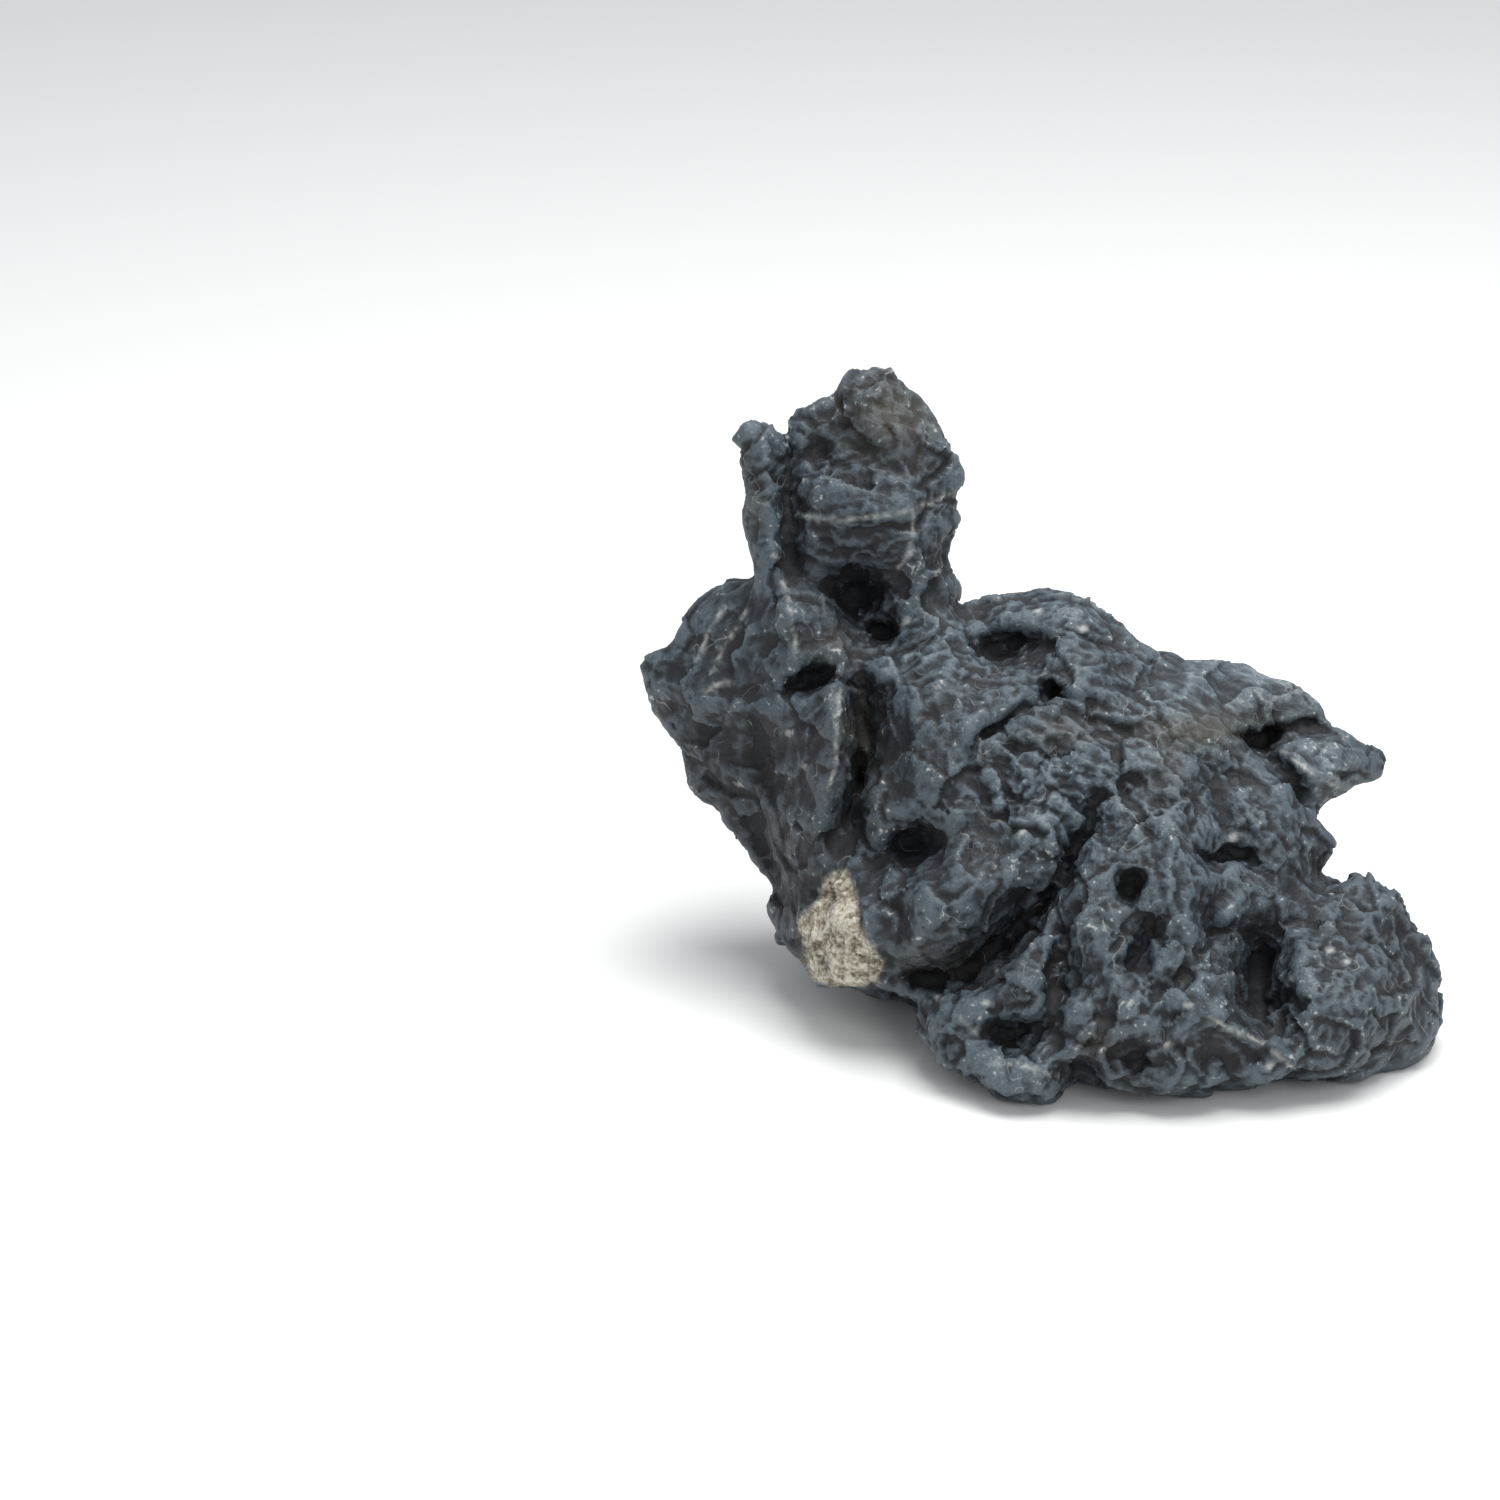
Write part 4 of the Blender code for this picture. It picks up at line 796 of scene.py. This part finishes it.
@dataclass(frozen=True)
class Relief:
    """How the stone's surface is worked: sizes and heights in millimetres, shares from 0 to 1."""

    # Marks are pushed about by a slow bend and a fine jag, so that their edges look broken.
    bend: Bend = Bend(3.2, 7.0, 2, 90.0, (1, 2))
    jag: Bend = Bend(0.9, 2.8, 1, 40.0, (3, 4))
    # A mark fades where the surface turns away from the eye.
    edge_on: float = 0.05
    face_on: float = 0.40

    crevice_share: float = 0.62
    gully_share: float = 0.60
    crest_share: float = 0.75
    pit_share: float = 0.40
    lip_place: float = 2.1
    lip_share: float = 0.28
    pit_lip_place: float = 1.35
    pit_lip_width: float = 0.28
    pit_lip_share: float = 0.30
    end_fade: float = 0.12
    end_share: float = 0.25

    drift: Bend = Bend(3.5, 16.0, 2, 50.0, (1, 2, 3))
    bed_step: float = 61.0
    fold_stretch: float = 0.66
    fold_share: float = 1.35
    long_share: float = 0.85
    knob_size: float = 5.0
    knob_share: float = 0.28
    faint: float = 0.02
    rest_weight: float = 0.08
    least_rugged: float = 0.20
    rugged_share: float = 0.85

    wander: Bend = Bend(2.0, 9.0, 2, 70.0, (4, 5, 6))
    cups: tuple[Cup, ...] = (
        Cup(15.0, 1.5, 0.62, 0.50, 0.55, 0.90, 0.0), Cup(6.5, 0.9, 0.60, 0.45, 0.60, 0.90, 400.0))
    chips: tuple[Chip, ...] = (Chip(15.0, 0.17, 200.0), Chip(6.5, 0.09, 300.0))
    fine_size: float = 3.4
    fine_keep: float = 0.6
    fine_height: float = 0.30
    swell_size: float = 24.0
    swell_height: float = 0.70

    crust_edge: float = 2.0
    crust_grain: float = 3.4
    crust_height: float = 0.6
    crust_bump: float = 1.3
    bump_rim: float = 0.75
    bump_wall: float = 0.6
    least_bump: float = 0.4
    base_fade: float = 3.0
    base_touch: float = 0.01

    def folds(self, grain: Grain, view: FrontView, spots: np.ndarray) -> np.ndarray:
        """Work out folds that follow the bedding of each part of the stone.

        Args:
            grain: the patterns.
            view: the front view.
            spots: the points in the frame, in millimetres.

        Returns:
            The height of the folds, in millimetres.
        """
        total = np.zeros(len(spots))
        weight = np.full(len(spots), self.rest_weight)
        bent = spots + grain.pushed(spots, self.drift)
        for number, (bed, share) in enumerate(self.shares(view.seen(spots))):
            near = share > self.faint
            way = view.way(bed.turn)
            local = bent[near]
            stretched = local - self.fold_stretch * np.outer(local @ way, way) + self.bed_step * number
            rough = (self.long_share * grain.crests(stretched, bed.spacing, 3)
                     + self.knob_share * grain.crests(local, self.knob_size, 2))
            total[near] += self.fold_share * share[near] * bed.depth * rough
            weight[near] += share[near]
        return total / weight

    def shares(self, seen: np.ndarray) -> list[tuple[Bedding, np.ndarray]]:
        """Say how far each bedding reaches.

        Args:
            seen: across and up for each point.

        Returns:
            Each bedding with its share at each point.
        """
        found = []
        for bed in BEDDINGS:
            apart = np.hypot(seen[:, 0] - bed.centre[0], seen[:, 1] - bed.centre[1])
            found.append((bed, np.exp(-(apart / bed.reach) ** 2)))
        return found

    def rugged(self, seen: np.ndarray) -> np.ndarray:
        """Say how rough each part of the stone is.

        Args:
            seen: across and up for each point.

        Returns:
            About 0.5 on cleaved faces, and 1.4 on folded ones.
        """
        total, weight = np.full(len(seen), self.rest_weight), np.full(len(seen), self.rest_weight)
        for bed, share in self.shares(seen):
            total += share * bed.depth
            weight += share
        return self.least_rugged + self.rugged_share * total / weight

    def wear(self, grain: Grain, spots: np.ndarray, rugged: np.ndarray) -> np.ndarray:
        """Work out shallow dissolved cups, chipped faces, broad swells and fine roughness.

        Args:
            grain: the patterns.
            spots: the points in the frame, in millimetres.
            rugged: how rough the stone is at each point.

        Returns:
            The height, in millimetres.
        """
        bent = spots + grain.pushed(spots, self.wander)
        total = self.fine_height * grain.fractal(spots, self.fine_size, 2, self.fine_keep)
        for cup in self.cups:
            least, _, own = grain.nearest(bent + cup.place, cup.size)
            total -= cup.depth * smooth(cup.rim - least, 0.0, cup.wall) * smooth(own, cup.rare, cup.sure)
        for chip in self.chips:
            _, face, _ = grain.nearest(bent + chip.place, chip.size)
            total += chip.steep * chip.size * face
        return rugged * total + self.swell_height * grain.fractal(spots, self.swell_size, 2)

    def strokes(self, front: MarkSheet) -> np.ndarray:
        """Work out the height of the long marks.

        Args:
            front: the points on the front view.

        Returns:
            The height, in millimetres.
        """
        total = np.zeros(len(front.across))
        for stroke in STROKES:
            apart, along = front.from_path(stroke.path)
            ends = smooth(along, 0.0, self.end_fade) * smooth(1.0 - along, 0.0, self.end_fade)
            depth = stroke.depth * (self.end_share + (1.0 - self.end_share) * ends)
            bell = np.exp(-(apart / stroke.width) ** 2)
            if stroke.kind is Mark.CREVICE:
                lips = np.exp(-((apart - self.lip_place * stroke.width) / stroke.width) ** 2)
                total += self.crevice_share * depth * (self.lip_share * lips - bell)
            elif stroke.kind is Mark.GULLY:
                total -= self.gully_share * depth * np.exp(-(apart / stroke.width) ** 3)
            else:
                total += self.crest_share * depth * bell
        return total

    def pits(self, front: MarkSheet) -> np.ndarray:
        """Work out the depth of pits and the height of lumps.

        Args:
            front: the points on the front view.

        Returns:
            The height, in millimetres.
        """
        total = np.zeros(len(front.across))
        for pit in PITS:
            out = front.from_middle(pit.centre, pit.radii, pit.turn)
            if pit.depth > 0.0:
                lip = np.exp(-((out - self.pit_lip_place) / self.pit_lip_width) ** 2)
                total += self.pit_share * pit.depth * (self.pit_lip_share * lip - np.exp(-out ** 3))
            else:
                total -= pit.depth * np.exp(-out ** 2)
        return total

    def height(self, grain: Grain, view: FrontView, spots: np.ndarray, ways: np.ndarray) -> np.ndarray:
        """Work out the whole relief.

        Args:
            grain: the patterns.
            view: the front view.
            spots: the points in the frame, in millimetres.
            ways: the surface's normals there.

        Returns:
            How far each point moves along its normal, in millimetres.
        """
        seen = view.seen(spots)
        front = MarkSheet(seen + (grain.pushed(spots, self.bend) + grain.pushed(spots, self.jag)))
        facing = smooth(-(ways @ view.look), self.edge_on, self.face_on)
        total = self.folds(grain, view, spots) + self.wear(grain, spots, self.rugged(seen))
        total += facing * (self.strokes(front) + self.pits(front))
        crust = facing * front.inside(CRUST, self.crust_edge)
        least, _, own = grain.nearest(spots, self.crust_grain)
        bumps = self.crust_bump * smooth(self.bump_rim - least, 0.0, self.bump_wall) * (self.least_bump + own)
        total += crust * (bumps + self.crust_height)
        return total * smooth(spots[:, 2], 0.0, self.base_fade)


@dataclass(frozen=True)
class Tint:
    """How marks and crests become what the finish reads: sizes in millimetres, shares 0 to 1."""

    bend: Bend = Bend(1.0, 6.0, 2, 90.0, (1, 2))
    edge_on: float = -0.1
    face_on: float = 0.3
    # Rounds of averaging that a crest is measured against, its full height and its share.
    fine_rounds: int = 6
    fine_height: float = 0.30
    fine_share: float = 0.85
    broad_rounds: int = 60
    broad_height: float = 1.6
    broad_share: float = 0.30

    # Painted light and painted shade: a plain middle, raised by the painted-light patches and lowered by the
    # painted-shade patches on faces toward the eye, with random swells of tone.
    plain: float = 0.5
    painted_light_share: float = 0.56
    painted_shade_share: float = 0.45
    swell_size: float = 30.0
    swell_share: float = 0.16
    # Painted light and shade: broad crests are painted paler and broad hollows darker,
    # by so much for each millimetre.
    broad_slope: float = 0.10
    most_dark: float = -0.25
    most_pale: float = 0.10
    crust_edge: float = 1.6

    # A vein's strength comes and goes along it.
    vein_share: float = 0.34
    vein_swing: float = 0.55
    vein_size: float = 4.0
    vein_place: float = 11.0
    vein_width: float = 0.75
    fleck_share: float = 0.55
    fleck_radii: Point = (0.75, 0.55)
    fleck_turn: float = 30.0


@dataclass
class Rock:
    """The stone's visible surface, grown from a copy of its solid. Sizes are in millimetres."""

    view: FrontView = field(default_factory=FrontView)
    finish: LimestoneFinish = field(default_factory=LimestoneFinish)
    relief: Relief = field(default_factory=Relief)
    tint: Tint = field(default_factory=Tint)
    grid: float = 1.15
    weld: float = 0.001
    triangles: int = 194000
    seed: int = 41
    # Rounds of averaging over the solid's facets, and how much of itself a value keeps in each.
    ease_rounds: int = 3
    keep: float = 0.4

    def build(self) -> bpy.types.Object:
        """Build and dress the surface, hide the frame's solid and hang the surface on the root body.

        Returns:
            The finished object.
        """
        stone = self.merged()
        self.refine(stone)
        self.carve(stone)
        self.thin(stone)
        self.mark(stone)
        stone.data.shade_smooth()
        stone.data.materials.clear()
        stone.data.materials.append(self.finish.material())
        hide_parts("rock")
        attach(stone, "root")
        return stone

    def merged(self) -> bpy.types.Object:
        """Copy the solid with its loose triangles joined.

        Returns:
            A new object whose mesh is one closed surface.
        """
        shell = bmesh.new()
        shell.from_mesh(bpy.data.objects["rock"].data)
        bmesh.ops.remove_doubles(shell, verts=shell.verts, dist=self.weld * MM)
        mesh = bpy.data.meshes.new("rock_surface")
        shell.to_mesh(mesh)
        shell.free()
        made = bpy.data.objects.new("rock_surface", mesh)
        bpy.context.scene.collection.objects.link(made)
        return made

    def apply(self, stone: bpy.types.Object) -> None:
        """Take the object's modifiers into its mesh.

        Args:
            stone: the object.
        """
        flat = bpy.data.meshes.new_from_object(stone.evaluated_get(bpy.context.evaluated_depsgraph_get()))
        stone.modifiers.clear()
        stone.data = flat
        flat.name = stone.name

    def refine(self, stone: bpy.types.Object) -> None:
        """Lay an even, fine mesh over the solid and ease its facets.

        Args:
            stone: the object.
        """
        voxel = stone.modifiers.new("fine", "REMESH")
        voxel.mode = "VOXEL"
        voxel.voxel_size = self.grid * MM
        self.apply(stone)
        spots, _ = self.read(stone)
        self.write(stone, self.eased(stone, spots, self.ease_rounds))

    def carve(self, stone: bpy.types.Object) -> None:
        """Press the relief into the surface, and keep its resting face flat.

        Args:
            stone: the object.
        """
        spots, ways = self.read(stone)
        height = self.relief.height(Grain(self.seed), self.view, spots, ways)
        moved = spots + ways * height[:, None]
        moved[:, 2] = np.maximum(moved[:, 2], 0.0)
        moved[spots[:, 2] < self.relief.base_touch, 2] = 0.0
        self.write(stone, moved)

    def thin(self, stone: bpy.types.Object) -> None:
        """Drop triangles where the surface is plain.

        Args:
            stone: the object.
        """
        count = triangles_of(stone)
        if count > self.triangles:
            fewer = stone.modifiers.new("thin", "DECIMATE")
            fewer.ratio = self.triangles / count
            self.apply(stone)

    def read(self, stone: bpy.types.Object) -> tuple[np.ndarray, np.ndarray]:
        """Read the mesh's points.

        Args:
            stone: the object.

        Returns:
            Their places, in millimetres, and the normals there.
        """
        count = len(stone.data.vertices)
        spots, ways = np.empty(count * 3), np.empty(count * 3)
        stone.data.vertices.foreach_get("co", spots)
        stone.data.vertices.foreach_get("normal", ways)
        return spots.reshape(-1, 3) / MM, ways.reshape(-1, 3)

    def write(self, stone: bpy.types.Object, spots: np.ndarray) -> None:
        """Put the mesh's points back.

        Args:
            stone: the object.
            spots: their places, in millimetres.
        """
        stone.data.vertices.foreach_set("co", (spots * MM).ravel())
        stone.data.update()

    def eased(self, stone: bpy.types.Object, values: np.ndarray, rounds: int) -> np.ndarray:
        """Average values over neighbouring points.

        Args:
            stone: the object whose edges join the points.
            values: one row for each point.
            rounds: how often.

        Returns:
            The averaged values.
        """
        ends = np.empty(len(stone.data.edges) * 2, int)
        stone.data.edges.foreach_get("vertices", ends)
        a, b = ends.reshape(-1, 2).T
        count = len(values)
        ties = np.bincount(a, minlength=count) + np.bincount(b, minlength=count)
        for _ in range(rounds):
            sums = np.column_stack([
                np.bincount(a, column[b], count) + np.bincount(b, column[a], count) for column in values.T])
            values = self.keep * values + (1.0 - self.keep) * sums / ties[:, None]
        return values

    def veins(self, grain: Grain, front: MarkSheet, spots: np.ndarray) -> np.ndarray:
        """Lay calcite along the marked threads and on the single grains.

        Args:
            grain: the patterns.
            front: the points on the front view.
            spots: the points in the frame, in millimetres.

        Returns:
            How far calcite covers each point, 0 to 1.
        """
        tint = self.tint
        cover = np.zeros(len(spots))
        swells = grain.fractal(spots + tint.vein_place, tint.vein_size, 2)
        strength = tint.vein_share + tint.vein_swing * swells
        for stroke in STROKES:
            if stroke.kind is Mark.VEIN:
                apart, _ = front.from_path(stroke.path)
                bell = np.exp(-(apart / (tint.vein_width * stroke.width)) ** 2)
                cover = np.maximum(cover, strength * bell)
        for across, up, size in FLECKS:
            long, short = (share * size for share in tint.fleck_radii)
            out = front.from_middle((across, up), (long, short), tint.fleck_turn)
            cover = np.maximum(cover, tint.fleck_share * np.exp(-out ** 4))
        return cover

    def mark(self, stone: bpy.types.Object) -> None:
        """Note on each point what the finish reads: crests, shade, veins, crust and stain.

        Crests become paler stone, partly rubbed and partly painted highlight, and hollows become
        painted shade; shade is painted light and painted shade with some random tone.

        Args:
            stone: the object.
        """
        spots, ways = self.read(stone)
        tint, grain = self.tint, Grain(self.seed + 1)
        front = MarkSheet(self.view.seen(spots) + grain.pushed(spots, tint.bend))
        facing = smooth(-(ways @ self.view.look), tint.edge_on, tint.face_on)
        # Crest: how far a point stands above or below its neighbours; the finish paints crests paler, partly
        # rubbed stone and partly painted highlight, and hollows darker as painted shade.
        fine = np.einsum("ij,ij->i", spots - self.eased(stone, spots, tint.fine_rounds), ways)
        broad = np.einsum("ij,ij->i", spots - self.eased(stone, spots, tint.broad_rounds), ways)
        crest = tint.fine_share * fine / tint.fine_height + tint.broad_share * broad / tint.broad_height
        # Painted light on faces lit from above, painted shade on undersides and in hollows, and random tone.
        pale, dark = front.patches(PAINTED_LIGHT), front.patches(PAINTED_SHADE)
        shade = tint.plain + tint.painted_light_share * pale * facing - tint.painted_shade_share * dark * facing
        shade += (tint.swell_share * grain.fractal(spots, tint.swell_size, 3)
                  + np.clip(tint.broad_slope * broad, tint.most_dark, tint.most_pale))
        values = {
            "crest": np.clip(crest, -1.0, 1.0),
            "shade": np.clip(shade, 0.0, 1.0),
            "vein": self.veins(grain, front, spots) * facing,
            "crust": facing * front.inside(CRUST, tint.crust_edge),
            "warm": front.patches(WARM) * facing,
        }
        for name, numbers in values.items():
            layer = stone.data.attributes.new(name, "FLOAT", "POINT")
            layer.data.foreach_set("value", numbers.astype(np.float32))


@dataclass(frozen=True)
class Lamp:
    """A square soft lamp: its name, place and side in metres, and power in watts."""

    name: str
    place: tuple[float, float, float]
    side: float
    power: float


@dataclass
class Studio:
    """A pale floor, soft light from above and the photograph's camera. Sizes are in metres."""

    view: FrontView = field(default_factory=FrontView)
    floor_side: float = 14.0
    floor_colour: str = "#f4f4f2"
    floor_roughness: float = 0.9
    floor_specular: float = 0.1
    sky_colour: str = "#eef2f6"
    sky_strength: float = 0.62
    aim: tuple[float, float, float] = (0.0, 0.0, 0.08)
    lamps: tuple[Lamp, ...] = (
        Lamp("overhead", (0.25, 0.00, 1.60), 1.10, 27.0), Lamp("front", (0.60, -1.50, 1.20), 0.80, 6.0))
    sensor_mm: float = 36.0

    def build(self) -> None:
        """Set up the camera, the floor and the light."""
        self.camera()
        self.floor()
        self.light()

    def camera(self) -> None:
        """Set the camera at the photograph's viewing angle."""
        lens = bpy.data.cameras.new("camera")
        lens.sensor_width = self.sensor_mm
        lens.lens = self.sensor_mm * self.view.distance / self.view.width
        made = bpy.data.objects.new("camera", lens)
        look = Vector(self.view.look)
        made.location = self.view.target() - look * self.view.distance * MM
        made.rotation_mode = "QUATERNION"
        made.rotation_quaternion = look.to_track_quat("-Z", "Y")
        bpy.context.scene.collection.objects.link(made)
        bpy.context.scene.camera = made

    def floor(self) -> None:
        """Lay the floor under the stone: matt white paper, which hardly mirrors anything."""
        shell = bmesh.new()
        bmesh.ops.create_grid(shell, x_segments=8, y_segments=8, size=self.floor_side / 2)
        mesh = bpy.data.meshes.new("floor")
        shell.to_mesh(mesh)
        shell.free()
        made = bpy.data.objects.new("floor", mesh)
        bpy.context.scene.collection.objects.link(made)
        paper = bpy.data.materials.new("matt_paper")
        paper.use_nodes = True
        shader = paper.node_tree.nodes["Principled BSDF"]
        shader.inputs["Base Color"].default_value = linear(self.floor_colour)
        shader.inputs["Roughness"].default_value = self.floor_roughness
        shader.inputs["Specular IOR Level"].default_value = self.floor_specular
        mesh.materials.append(paper)

    def light(self) -> None:
        """Fill with an even sky, and hang a broad lamp overhead and a weaker one in front."""
        world = bpy.data.worlds.new("studio")
        bpy.context.scene.world = world
        world.use_nodes = True
        sky = world.node_tree.nodes["Background"]
        sky.inputs["Color"].default_value = linear(self.sky_colour)
        sky.inputs["Strength"].default_value = self.sky_strength
        for lamp in self.lamps:
            lit = bpy.data.lights.new(lamp.name, "AREA")
            lit.size = lamp.side
            lit.energy = lamp.power
            made = bpy.data.objects.new(lamp.name, lit)
            made.location = lamp.place
            aim = Vector(self.aim) - Vector(lamp.place)
            made.rotation_euler = aim.to_track_quat("-Z", "Y").to_euler()
            bpy.context.scene.collection.objects.link(made)


def triangles_of(made: bpy.types.Object) -> int:
    """Count the triangles in an object's mesh."""
    return sum(len(face.vertices) - 2 for face in made.data.polygons)


def main() -> None:
    """Load the frame, and build the studio and the rock."""
    logging.basicConfig(level=logging.INFO, format="%(message)s")
    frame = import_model()
    bpy.context.scene.view_settings.view_transform = "Standard"
    Studio().build()
    LOG.info("studio ready for %s", ", ".join(frame["nodes"]))
    rock = Rock().build()
    LOG.info("%s: %d triangles", rock.name, triangles_of(rock))


if __name__ == "__main__":
    main()
